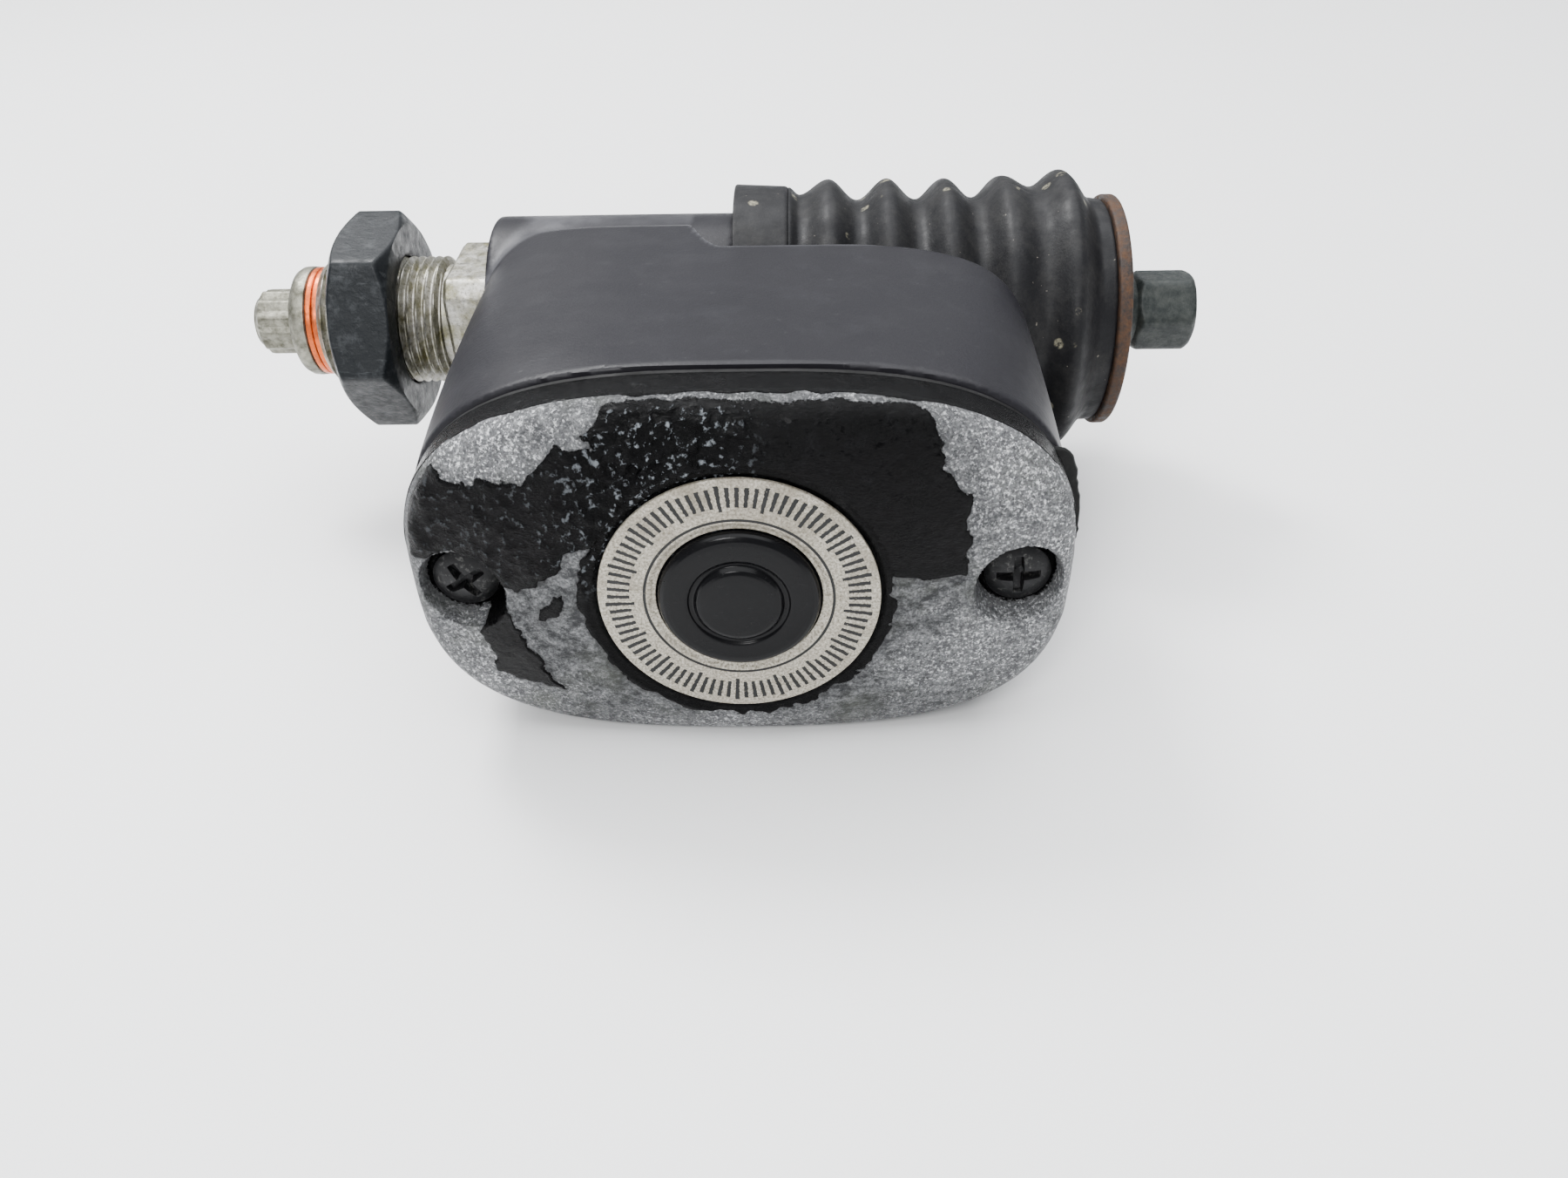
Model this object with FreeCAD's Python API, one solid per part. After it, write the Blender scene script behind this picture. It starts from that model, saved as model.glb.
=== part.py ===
import FreeCAD, Part
import math
import os

from FreeCAD import Vector

# Rear brake master cylinder, millimetres.
# +X runs along the bore towards the pushrod, +Z is up, and the reservoir cover faces -Y.
# The origin is on the bore axis, in the plane where the thread ends and the square boss begins.

# --- Driving dimensions ---------------------------------------------------------------------

# Cover outline: an oval with |x/a|^p + |z/b|^p = 1.
COVER_WIDTH = 78.6
COVER_HEIGHT = 48.6
OVAL_POWER = 2.9
COVER_CENTRE_X = 46.2
COVER_DROP = 5.5            # cover centre below the bore axis

# Depths, measured from the bore axis towards the cover.
RIM_DEPTH = 54.2            # casting rim that the diaphragm's flange sits on
GASKET_THICKNESS = 0.9
COVER_SIDE = 3.9            # straight side of the cover
COVER_CROWN = 5.9           # rise from the top of that side to the label's seat
COVER_POCKET = 2.4          # hollow under the cover
POCKET_MARGIN = 5.0         # cover land outside the hollow

# Reservoir casting.
WALL = 3.0
BLOCK_BACK_DEPTH = 4.0      # the deep half of the casting ends this far before the bore axis
TOP_DRAFT = 3.3             # fall of the top wall from rim to back
SIDE_DRAFT = 1.4            # narrowing of each end wall from rim to back
BACK_POWER = 5.6            # the oval grows squarer towards the back
BACK_CORNER = 3.5           # radius of the lower back corner
BARREL_RADIUS = 15.2
BOOT_GAP = 0.8              # room between the boot's largest fold and the casting
RECESS_LEAD = 1.5           # the recess reaches its full radius this far before the barrel's end
STEP_LENGTH = 6.5           # the slanted step between the deep half and the boot's recess
SCREW_BOSS_WALL = 2.2

# Steel cartridge, along the bore from the origin.
SHANK_RADIUS = 9.525        # thread outside radius
SHANK_LENGTH = 18.7
THREAD_CHAMFER = 0.9
RELIEF_LENGTH = 1.2
RELIEF_RADIUS = 8.3
BOSS_SIDE = 19.0
BOSS_LENGTH = 7.0
CARTRIDGE_RADIUS = 12.2
BARREL_LENGTH = 36.0
FLANGE_RADIUS = 16.6
FLANGE_LENGTH = 7.0
BORE_RADIUS = 7.9375
BORE_START = 3.2
OUTLET_RADIUS = 4.3
OUTLET_DEPTH = 18.0
PASSAGE_RADIUS = 1.6
RING_INSET = 4.5            # each sealing ring from the nearer end of the barrel
RING_GROOVE_DEPTH = 1.7
SUMP_DEPTH = 1.0            # shallow groove that joins the reservoir's ports
RELIEF_PORT_RADIUS = 0.5
SUPPLY_PORT_RADIUS = 1.2
RELIEF_PORT_LEAD = 1.2      # relief port ahead of the piston's front face
SUPPLY_PORT_SETBACK = 7.0   # supply port behind it
LIP_START = 2.1             # boot's groove in the flange, from the barrel's end
LIP_END = 4.9
LIP_DEPTH = 1.5
STOP_RECESS = 1.1           # stop washer's seat, wider than the bore by this
CLIP_GROOVE = 2.0           # retaining ring's groove, deeper than the bore by this
CLIP_SETBACK = 2.4          # from the retaining ring to the cartridge's end

# Mounting nut, banjo bolt and sealing washers.
NUT_ACROSS_FLATS = 28.58
NUT_THICKNESS = 8.9
NUT_TURN = 24.0             # degrees from a corner pointing up
NUT_TO_RELIEF = 6.1         # thread left bare behind the nut
BOLT_SHANK_LENGTH = 19.0
BOLT_FLANGE_RADIUS = 8.25
BOLT_FLANGE_THICKNESS = 2.9
BOLT_HEAD_RADIUS = 5.05
BOLT_HEAD_LENGTH = 6.6
WASHER_RADIUS = 8.15
WASHER_THICKNESS = 1.0

# Piston set.
STROKE = 12.0
PISTON_LENGTH = 21.5
PISTON_GAP = 0.06           # radial running clearance
CUP_LENGTH = 3.4
CUP_BASE = 1.5              # solid heel of the cup
CUP_GAP = 0.04              # radial gap left around each seal
CUP_WASHER_THICKNESS = 0.5
STUB_RADIUS = 3.0           # piston's nose inside the cup
WAIST_DEPTH = 2.4           # piston's waist between its two lands
SEAL_SETBACK = 5.2          # rear seal's groove, from the piston's rear face
SEAL_WIDTH = 2.4
SEAL_DEPTH = 1.9
BALL_SETBACK = 1.0          # ball inside the piston's rear face
STOP_WASHER_THICKNESS = 1.2
CLIP_THICKNESS = 1.1
BALL_RADIUS = 4.2
ROD_NECK_RADIUS = 3.1
ROD_RADIUS = 3.97
ROD_SHOULDER_RADIUS = 5.6
ROD_SHOULDER_LENGTH = 4.1
ROD_HEX_RADIUS = 6.3        # across the corners, halved
ROD_HEX_LENGTH = 8.4
ROD_HEX_TURN = 36.0         # degrees from a corner pointing up
ROD_THREAD_RADIUS = 3.45
ROD_THREAD_DEPTH = 14.0
PLATE_RADIUS = 17.15
PLATE_THICKNESS = 2.0

# Boot.
BOOT_WALL = 1.4
BOOT_COLLAR_RADIUS = 19.3
BOOT_COLLAR_LENGTH = 7.9
BOOT_FOLDS = 5
BOOT_PEAK_RADIUS = 20.0
BOOT_LAST_PEAK_RADIUS = 20.8
BOOT_VALLEY_RADIUS = 17.0
BOOT_PITCH = 8.6
BOOT_END_LENGTH = 6.2       # from the last fold's peak to the end plate
BOOT_END_RADIUS = 16.6
BOOT_HOLE_RADIUS = 10.6

# Springs.
RETURN_WIRE = 2.2
RETURN_RADIUS = 12.0
RETURN_TURNS = 6.5
BORE_SPRING_WIRE = 1.1
BORE_SPRING_RADIUS = 5.3
BORE_SPRING_TURNS = 5.0

# Cover fittings.
SCREW_HALF_SPACING = 32.8
SCREW_RADIUS = 2.0
SCREW_HEAD_RADIUS = 3.9
SCREW_HEAD_HEIGHT = 2.5
SCREW_LENGTH = 12.0
SCREW_SEAT = 3.4            # cover material left under each screw head
SCREW_HOLE_DEPTH = 10.0     # screw hole in the casting's boss
RECESS_SLOT = 1.1           # cross recess: width, span and depth
RECESS_SPAN = 4.4
RECESS_DEPTH = 1.6
LABEL_RADIUS = 16.4
LABEL_THICKNESS = 0.5
GLASS_RADIUS = 9.5
GLASS_RISE = 1.0            # glass rim above the label
LENS_RISE = 0.8             # central lens above the glass rim
LENS_RADIUS = 5.9
GLASS_STEM_RADIUS = 6.9
GLASS_STEM_LENGTH = 19.0
GLASS_RING_SECTION = 0.72   # sight glass's sealing ring, half its thickness
DIAPHRAGM_DEPTH = 8.0
DIAPHRAGM_WALL = 1.0
GASKET_OVERHANG = 0.4       # diaphragm's flange past the cover, at its two ends

# Clearances.
FIT = 0.02                  # pieces that are assembled tight
SLIP = 0.05                 # pieces that slide over each other
RING_SECTION = 0.83         # sealing ring, half its thickness

# --- Sizes that follow from them ------------------------------------------------------------

FACE_X = RELIEF_LENGTH + BOSS_LENGTH                   # housing's mounting face
SHANK_END_X = -SHANK_LENGTH
COVER_BASE = RIM_DEPTH + GASKET_THICKNESS
COVER_SIDE_TOP = COVER_BASE + COVER_SIDE
LABEL_SEAT = COVER_SIDE_TOP + COVER_CROWN - LABEL_THICKNESS
LABEL_TOP = LABEL_SEAT + LABEL_THICKNESS
GLASS_RING_DEPTH = COVER_BASE + COVER_POCKET + 1.2
BARREL_END_X = FACE_X + BARREL_LENGTH
CARTRIDGE_END_X = BARREL_END_X + FLANGE_LENGTH
STOP_X = CARTRIDGE_END_X - STOP_WASHER_THICKNESS - CLIP_THICKNESS - CLIP_SETBACK
PISTON_FRONT_X = STOP_X - PISTON_LENGTH
SEAL_X = STOP_X - SEAL_SETBACK
FRONT_RING_X = FACE_X + RING_INSET
REAR_RING_X = BARREL_END_X - RING_INSET
RELIEF_PORT_X = PISTON_FRONT_X - RELIEF_PORT_LEAD
SUPPLY_PORT_X = PISTON_FRONT_X + SUPPLY_PORT_SETBACK
BOOT_START_X = BARREL_END_X - 0.2
FIRST_VALLEY_X = BOOT_START_X + BOOT_COLLAR_LENGTH + 1.7
LAST_PEAK_X = FIRST_VALLEY_X + BOOT_PITCH * (BOOT_FOLDS - 0.5)
PLATE_X = LAST_PEAK_X + BOOT_END_LENGTH
SHOULDER_X = PLATE_X + PLATE_THICKNESS
ROD_END_X = SHOULDER_X + ROD_SHOULDER_LENGTH + ROD_HEX_LENGTH
RECESS_RADIUS = BOOT_LAST_PEAK_RADIUS + BOOT_GAP
RECESS_X = BARREL_END_X - RECESS_LEAD
BALL_X = STOP_X - BALL_RADIUS - BALL_SETBACK
SEAT_WASHER_THICKNESS = 1.1
INNER_SEAT_X = PLATE_X - BOOT_WALL - SEAT_WASHER_THICKNESS
FOREVER = 200.0


# --- Helpers --------------------------------------------------------------------------------

def turned_x(profile):
    """Solid turned about the bore from (x, radius) points, closed in order."""
    points = [Vector(x, 0, r) for x, r in profile]
    wire = Part.makePolygon(points + points[:1])
    return Part.Face(wire).revolve(Vector(0, 0, 0), Vector(1, 0, 0), 360)


def turned_y(profile):
    """Solid turned about the cover's own axis from (radius, depth) points."""
    points = [Vector(COVER_CENTRE_X + r, -depth, -COVER_DROP) for r, depth in profile]
    wire = Part.makePolygon(points + points[:1])
    centre = Vector(COVER_CENTRE_X, 0, -COVER_DROP)
    return Part.Face(wire).revolve(centre, Vector(0, 1, 0), 360)


def rod_x(x_start, x_end, radius):
    return Part.makeCylinder(radius, x_end - x_start, Vector(x_start, 0, 0), Vector(1, 0, 0))


def pin_y(x, z, depth_near, depth_far, radius):
    """Cylinder along Y between two depths in front of the bore axis."""
    start = Vector(x, -depth_near, z)
    return Part.makeCylinder(radius, depth_far - depth_near, start, Vector(0, -1, 0))


def hexagon_x(corner_radius, x_start, x_end, turn=0.0):
    """Hexagonal prism along the bore; turn is in degrees from a corner pointing up."""
    points = []
    for k in range(7):
        angle = math.radians(turn + 60 * k)
        points.append(Vector(x_start, corner_radius * math.sin(angle), corner_radius * math.cos(angle)))
    return Part.Face(Part.makePolygon(points)).extrude(Vector(x_end - x_start, 0, 0))


def oval(half_width, half_height, depth, power=OVAL_POWER, centre_z=-COVER_DROP, count=48):
    """Closed oval wire in an XZ plane, |x/a|^p + |z/b|^p = 1."""
    points = []
    for k in range(count):
        angle = 2 * math.pi * k / count
        c, s = math.cos(angle), math.sin(angle)
        x = half_width * math.copysign(abs(c) ** (2 / power), c)
        z = half_height * math.copysign(abs(s) ** (2 / power), s)
        points.append(Vector(COVER_CENTRE_X + x, -depth, centre_z + z))
    curve = Part.BSplineCurve()
    curve.interpolate(Points=points, PeriodicFlag=True)
    return Part.Wire([curve.toShape()])


def loft(wires, ruled=True):
    return Part.makeLoft(wires, True, ruled)


def sealing_ring_x(x, outer_radius):
    """Round-section ring about the bore, touching outer_radius."""
    return Part.makeTorus(outer_radius - RING_SECTION, RING_SECTION, Vector(x, 0, 0), Vector(1, 0, 0))


def coil(x_start, x_end, radius, wire_diameter, turns):
    """Helical spring along the bore between two seats."""
    wire = wire_diameter / 2
    length = x_end - x_start - 2 * wire - 2 * FIT
    pitch = length / turns
    helix = Part.makeHelix(pitch, length, radius)
    tangent = Vector(0, 2 * math.pi * radius, pitch)
    section = Part.Wire([Part.makeCircle(wire, Vector(radius, 0, 0), tangent)])
    spring = Part.Wire(helix).makePipeShell([section], True, True)
    spring.rotate(Vector(0, 0, 0), Vector(0, 1, 0), 90)
    spring.translate(Vector(x_start + wire + FIT, 0, 0))
    return spring


# --- Reservoir casting ----------------------------------------------------------------------

def casting_block(inset, depth_front, depth_back):
    """Drafted oval block; inset shrinks it on every side, for the cavity."""
    def section(depth):
        share = (RIM_DEPTH - depth) / (RIM_DEPTH - BLOCK_BACK_DEPTH)
        top = COVER_HEIGHT / 2 + 0.4 - COVER_DROP - TOP_DRAFT * share - inset
        bottom = -COVER_HEIGHT / 2 - COVER_DROP + inset
        half_width = COVER_WIDTH / 2 + 0.2 - SIDE_DRAFT * share - inset
        power = OVAL_POWER + (BACK_POWER - OVAL_POWER) * share
        return oval(half_width, (top - bottom) / 2, depth, power, (top + bottom) / 2)
    return loft([section(depth_front), section(depth_back)])


def boot_recess(margin):
    """Space behind the shallow half of the casting, grown by margin for the cavity's wall."""
    radius = RECESS_RADIUS + margin
    barrel = BARREL_RADIUS
    start = RECESS_X - STEP_LENGTH - margin
    full = RECESS_X - margin
    round_part = turned_x([(start, 0), (start, barrel), (full, radius), (FOREVER, radius), (FOREVER, 0)])
    corner = Vector(full, -radius, -FOREVER)
    return round_part.fuse(Part.makeBox(FOREVER, radius + FOREVER, FOREVER, corner))


def reservoir_housing():
    block = casting_block(0, RIM_DEPTH, BLOCK_BACK_DEPTH)
    bottom = -COVER_HEIGHT / 2 - COVER_DROP
    corner_box = Part.makeBox(FOREVER, BACK_CORNER + 1, BACK_CORNER + 1,
                              Vector(-50, -BLOCK_BACK_DEPTH - BACK_CORNER, bottom - 1))
    corner_rod = Part.makeCylinder(BACK_CORNER, FOREVER,
                                   Vector(-50, -BLOCK_BACK_DEPTH - BACK_CORNER, bottom + BACK_CORNER),
                                   Vector(1, 0, 0))
    block = block.cut(corner_box.cut(corner_rod)).cut(boot_recess(0))

    barrel = rod_x(FACE_X, BARREL_END_X, BARREL_RADIUS)
    cavity = casting_block(WALL, RIM_DEPTH + 1, BLOCK_BACK_DEPTH + WALL)
    cavity = cavity.cut(boot_recess(WALL)).cut(rod_x(-50, FOREVER, BARREL_RADIUS))
    body = block.fuse(barrel).cut(cavity)

    hole_end = RIM_DEPTH - SCREW_HOLE_DEPTH
    for side in (-1, 1):
        x = COVER_CENTRE_X + side * SCREW_HALF_SPACING
        boss = pin_y(x, -COVER_DROP, hole_end - 2, RIM_DEPTH, SCREW_RADIUS + SCREW_BOSS_WALL)
        body = body.fuse(boss.common(casting_block(FIT, RIM_DEPTH, BLOCK_BACK_DEPTH)))
        body = body.cut(pin_y(x, -COVER_DROP, hole_end, RIM_DEPTH + 1, SCREW_RADIUS + FIT))

    body = body.cut(rod_x(-50, FOREVER, CARTRIDGE_RADIUS + FIT))
    for port_x in (RELIEF_PORT_X, SUPPLY_PORT_X):
        body = body.cut(pin_y(port_x, 0, 0, BARREL_RADIUS + 6, 1.5))
    return body.removeSplitter()


# --- Cover and its fittings -----------------------------------------------------------------

def reservoir_cover():
    a, b = COVER_WIDTH / 2, COVER_HEIGHT / 2
    side = loft([oval(a, b, COVER_BASE), oval(a, b, COVER_SIDE_TOP)])
    rise = LABEL_SEAT - COVER_SIDE_TOP
    seat = LABEL_RADIUS + 0.9
    crown = loft([
        oval(a, b, COVER_SIDE_TOP),
        oval(a - 0.6, b - 0.6, COVER_SIDE_TOP + 0.22 * rise),
        oval(a - 2.0, b - 1.7, COVER_SIDE_TOP + 0.40 * rise),
        oval(0.45 * a + 0.55 * seat, 0.4 * b + 0.6 * seat, COVER_SIDE_TOP + 0.84 * rise, 2.4),
        oval(seat, seat, LABEL_SEAT, 2.0),
    ])
    cover = side.fuse(crown)
    pocket = loft([oval(a - POCKET_MARGIN - 3, b - POCKET_MARGIN, COVER_BASE - 1),
                   oval(a - POCKET_MARGIN - 4, b - POCKET_MARGIN - 1, COVER_BASE + COVER_POCKET)])
    cover = cover.cut(pocket)
    pocket_floor = COVER_BASE + COVER_POCKET
    for sign in (-1, 1):
        x = COVER_CENTRE_X + sign * SCREW_HALF_SPACING
        cover = cover.fuse(pin_y(x, -COVER_DROP, COVER_BASE, pocket_floor, SCREW_HEAD_RADIUS))
    rib = pin_y(COVER_CENTRE_X, -COVER_DROP, COVER_BASE, pocket_floor + 1, GLASS_STEM_RADIUS + 2.2)
    cover = cover.fuse(rib).cut(pin_y(COVER_CENTRE_X, -COVER_DROP, 0, FOREVER, GLASS_STEM_RADIUS + FIT))
    for sign in (-1, 1):
        x = COVER_CENTRE_X + sign * SCREW_HALF_SPACING
        cover = cover.cut(pin_y(x, -COVER_DROP, 0, FOREVER, SCREW_RADIUS + 0.3))
        cover = cover.cut(pin_y(x, -COVER_DROP, COVER_BASE + SCREW_SEAT, FOREVER, SCREW_HEAD_RADIUS + 0.9))
    return cover.removeSplitter()


def cover_diaphragm():
    a, b = COVER_WIDTH / 2, COVER_HEIGHT / 2
    flange = loft([oval(a + GASKET_OVERHANG, b, RIM_DEPTH), oval(a + GASKET_OVERHANG, b, COVER_BASE)])
    pan_a, pan_b = SCREW_HALF_SPACING - SCREW_RADIUS - SCREW_BOSS_WALL - 1.2, b - WALL - 2.0
    wall = DIAPHRAGM_WALL
    floor_depth = RIM_DEPTH - DIAPHRAGM_DEPTH
    pan = loft([oval(pan_a - 1, pan_b - 1, floor_depth), oval(pan_a, pan_b, RIM_DEPTH)])
    hollow = loft([oval(pan_a - 1 - wall, pan_b - 1 - wall, floor_depth + wall),
                   oval(pan_a - wall, pan_b - wall, COVER_BASE + 1)])
    shape = flange.fuse(pan).cut(hollow)
    shape = shape.cut(pin_y(COVER_CENTRE_X, -COVER_DROP, 0, FOREVER, GLASS_STEM_RADIUS + SLIP))
    for sign in (-1, 1):
        x = COVER_CENTRE_X + sign * SCREW_HALF_SPACING
        shape = shape.cut(pin_y(x, -COVER_DROP, 0, FOREVER, SCREW_RADIUS + 0.2))
    return shape.removeSplitter()


def label_ring():
    return turned_y([(GLASS_RADIUS + 0.15, LABEL_SEAT), (LABEL_RADIUS, LABEL_SEAT),
                     (LABEL_RADIUS, LABEL_TOP - 0.1), (LABEL_RADIUS - 0.1, LABEL_TOP),
                     (GLASS_RADIUS + 0.15, LABEL_TOP)])


def sight_glass():
    rim_top = LABEL_TOP + GLASS_RISE
    lens_top = rim_top + LENS_RISE
    tip = LABEL_SEAT - GLASS_STEM_LENGTH
    half = GLASS_RING_SECTION + 0.2
    groove_start, groove_end = GLASS_RING_DEPTH - half, GLASS_RING_DEPTH + half
    groove = GLASS_STEM_RADIUS - 2 * GLASS_RING_SECTION - 0.1
    return turned_y([
        (0, lens_top), (LENS_RADIUS - 0.9, lens_top), (LENS_RADIUS, rim_top),
        (GLASS_RADIUS - 0.9, rim_top), (GLASS_RADIUS, rim_top - 0.9), (GLASS_RADIUS, LABEL_SEAT),
        (GLASS_STEM_RADIUS, LABEL_SEAT), (GLASS_STEM_RADIUS, groove_end), (groove, groove_end),
        (groove, groove_start), (GLASS_STEM_RADIUS, groove_start), (GLASS_STEM_RADIUS, tip + 5), (0, tip),
    ])


def sight_glass_o_ring():
    centre = Vector(COVER_CENTRE_X, -GLASS_RING_DEPTH, -COVER_DROP)
    return Part.makeTorus(GLASS_STEM_RADIUS - GLASS_RING_SECTION, GLASS_RING_SECTION, centre, Vector(0, 1, 0))


def cover_screws():
    screws = []
    seat = COVER_BASE + SCREW_SEAT
    for sign in (-1, 1):
        x = COVER_CENTRE_X + sign * SCREW_HALF_SPACING
        top = seat + SCREW_HEAD_HEIGHT
        head = turned_y([(0, seat), (SCREW_HEAD_RADIUS, seat), (SCREW_HEAD_RADIUS, top - 1.0),
                         (SCREW_HEAD_RADIUS - 0.7, top - 0.35), (SCREW_HEAD_RADIUS - 1.8, top), (0, top)])
        head.translate(Vector(sign * SCREW_HALF_SPACING, 0, 0))
        shank = pin_y(x, -COVER_DROP, seat - SCREW_LENGTH, seat, SCREW_RADIUS)
        screw = head.fuse(shank)
        for length, width in ((RECESS_SLOT, RECESS_SPAN), (RECESS_SPAN, RECESS_SLOT)):
            corner = Vector(x - length / 2, -top - 0.1, -COVER_DROP - width / 2)
            screw = screw.cut(Part.makeBox(length, RECESS_DEPTH, width, corner))
        screws.append(screw.removeSplitter())
    return Part.makeCompound(screws)


# --- Cartridge ------------------------------------------------------------------------------

def ring_groove(x):
    """Groove for a sealing ring centred at x on the cartridge."""
    half = RING_SECTION + 0.15
    floor = CARTRIDGE_RADIUS - RING_GROOVE_DEPTH
    return [(x - half, CARTRIDGE_RADIUS), (x - half, floor), (x + half, floor), (x + half, CARTRIDGE_RADIUS)]


def cartridge_body():
    sump_start, sump_end = RELIEF_PORT_X - 2.2, SUPPLY_PORT_X + 2.5
    sump_radius = CARTRIDGE_RADIUS - SUMP_DEPTH
    profile = [(SHANK_END_X, 0), (SHANK_END_X, SHANK_RADIUS - THREAD_CHAMFER),
               (SHANK_END_X + THREAD_CHAMFER, SHANK_RADIUS), (0, SHANK_RADIUS), (0, RELIEF_RADIUS),
               (RELIEF_LENGTH, RELIEF_RADIUS), (RELIEF_LENGTH, CARTRIDGE_RADIUS)]
    profile += ring_groove(FRONT_RING_X)
    profile += [(sump_start, CARTRIDGE_RADIUS), (sump_start, sump_radius),
                (sump_end, sump_radius), (sump_end, CARTRIDGE_RADIUS)]
    profile += ring_groove(REAR_RING_X)
    lip_start, lip_end = BARREL_END_X + LIP_START, BARREL_END_X + LIP_END
    lip_floor = FLANGE_RADIUS - LIP_DEPTH
    profile += [(BARREL_END_X, CARTRIDGE_RADIUS), (BARREL_END_X, FLANGE_RADIUS), (lip_start, FLANGE_RADIUS),
                (lip_start, lip_floor), (lip_end, lip_floor), (lip_end, FLANGE_RADIUS),
                (CARTRIDGE_END_X, FLANGE_RADIUS), (CARTRIDGE_END_X, 0)]
    body = turned_x(profile)

    boss_ring = rod_x(RELIEF_LENGTH, FACE_X, CARTRIDGE_RADIUS + 1)
    square = Part.makeBox(BOSS_LENGTH, BOSS_SIDE, BOSS_SIDE,
                          Vector(RELIEF_LENGTH, -BOSS_SIDE / 2, -BOSS_SIDE / 2))
    body = body.cut(boss_ring.cut(square))

    body = body.cut(rod_x(BORE_START, STOP_X, BORE_RADIUS))
    body = body.cut(rod_x(STOP_X, CARTRIDGE_END_X + 1, BORE_RADIUS + STOP_RECESS))
    groove_x = STOP_X + STOP_WASHER_THICKNESS + 0.1
    body = body.cut(rod_x(groove_x, groove_x + CLIP_THICKNESS + 0.1, BORE_RADIUS + CLIP_GROOVE))
    body = body.cut(rod_x(SHANK_END_X - 1, SHANK_END_X + OUTLET_DEPTH, OUTLET_RADIUS))
    body = body.cut(rod_x(SHANK_END_X, BORE_START + 1, PASSAGE_RADIUS))
    body = body.cut(pin_y(RELIEF_PORT_X, 0, 0, FLANGE_RADIUS, RELIEF_PORT_RADIUS))
    body = body.cut(pin_y(SUPPLY_PORT_X, 0, 0, FLANGE_RADIUS, SUPPLY_PORT_RADIUS))
    return body.removeSplitter()


def mounting_nut():
    corner = NUT_ACROSS_FLATS / 2 / math.cos(math.radians(30))
    end = -NUT_TO_RELIEF
    start = end - NUT_THICKNESS
    nut = hexagon_x(corner, start, end, NUT_TURN)
    bevel = corner - NUT_ACROSS_FLATS / 2
    blank = turned_x([(start, 0), (start, corner - bevel * 0.9), (start + bevel * 0.8, corner + 0.01),
                      (end - bevel * 0.45, corner + 0.01), (end, corner - bevel * 0.6), (end, 0)])
    return nut.common(blank).cut(rod_x(start - 1, end + 1, SHANK_RADIUS + FIT))


def sealing_washers():
    washers = []
    for k in range(2):
        start = SHANK_END_X - (k + 1) * WASHER_THICKNESS
        ring = turned_x([(start, OUTLET_RADIUS + 0.5), (start, WASHER_RADIUS - 0.3),
                         (start + 0.3, WASHER_RADIUS), (start + WASHER_THICKNESS - 0.3, WASHER_RADIUS),
                         (start + WASHER_THICKNESS, WASHER_RADIUS - 0.3),
                         (start + WASHER_THICKNESS, OUTLET_RADIUS + 0.5)])
        washers.append(ring)
    return Part.makeCompound(washers)


def banjo_bolt():
    seat = SHANK_END_X - 2 * WASHER_THICKNESS
    flange_start = seat - BOLT_FLANGE_THICKNESS
    head_start = flange_start - BOLT_HEAD_LENGTH
    shank_end = seat + BOLT_SHANK_LENGTH
    head = hexagon_x(BOLT_HEAD_RADIUS, head_start, flange_start)
    head = head.fuse(hexagon_x(BOLT_HEAD_RADIUS, head_start, flange_start, 30))
    outer = BOLT_HEAD_RADIUS + 0.01
    crown = turned_x([(head_start, 0), (head_start, outer - 1.1), (head_start + 0.4, outer - 0.4),
                      (head_start + 1.1, outer), (flange_start, outer), (flange_start, 0)])
    body = turned_x([(flange_start, 0), (flange_start, BOLT_FLANGE_RADIUS - 1.3),
                     (flange_start + 0.5, BOLT_FLANGE_RADIUS - 0.4), (flange_start + 1.3, BOLT_FLANGE_RADIUS),
                     (seat - 0.5, BOLT_FLANGE_RADIUS), (seat, BOLT_FLANGE_RADIUS - 0.5),
                     (seat, OUTLET_RADIUS - FIT), (shank_end - 0.8, OUTLET_RADIUS - FIT),
                     (shank_end, OUTLET_RADIUS - 0.8), (shank_end, 0)])
    bolt = head.common(crown).fuse(body)
    bolt = bolt.cut(rod_x(seat - 1, shank_end + 1, PASSAGE_RADIUS))
    cross = Part.makeCylinder(1.1, 20, Vector(SHANK_END_X - WASHER_THICKNESS, -10, 0), Vector(0, 1, 0))
    return bolt.cut(cross.common(rod_x(seat, SHANK_END_X, OUTLET_RADIUS))).removeSplitter()


def cartridge_o_ring_front():
    return sealing_ring_x(FRONT_RING_X, CARTRIDGE_RADIUS)


def cartridge_o_ring_rear():
    return sealing_ring_x(REAR_RING_X, CARTRIDGE_RADIUS)


def stop_washer():
    start = STOP_X + FIT
    ring = rod_x(start, STOP_X + STOP_WASHER_THICKNESS, BORE_RADIUS + STOP_RECESS - 0.1)
    return ring.cut(rod_x(start - 1, start + 5, ROD_NECK_RADIUS + 0.5))


def retaining_ring():
    start = STOP_X + STOP_WASHER_THICKNESS + 0.12
    ring = rod_x(start, start + CLIP_THICKNESS, BORE_RADIUS + CLIP_GROOVE - 0.1)
    ring = ring.cut(rod_x(start - 1, start + 5, BORE_RADIUS - 0.6))
    ring = ring.cut(Part.makeBox(5, 7, 20, Vector(start - 1, -3.5, 0)))
    for side in (-1, 1):
        centre = Vector(start, side * 4.6, BORE_RADIUS - 1.9)
        lug = Part.makeCylinder(1.7, CLIP_THICKNESS, centre, Vector(1, 0, 0))
        hole = Part.makeCylinder(0.6, CLIP_THICKNESS, centre, Vector(1, 0, 0))
        ring = ring.fuse(lug).cut(hole)
    return ring.removeSplitter()


# --- Piston set -----------------------------------------------------------------------------

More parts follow.
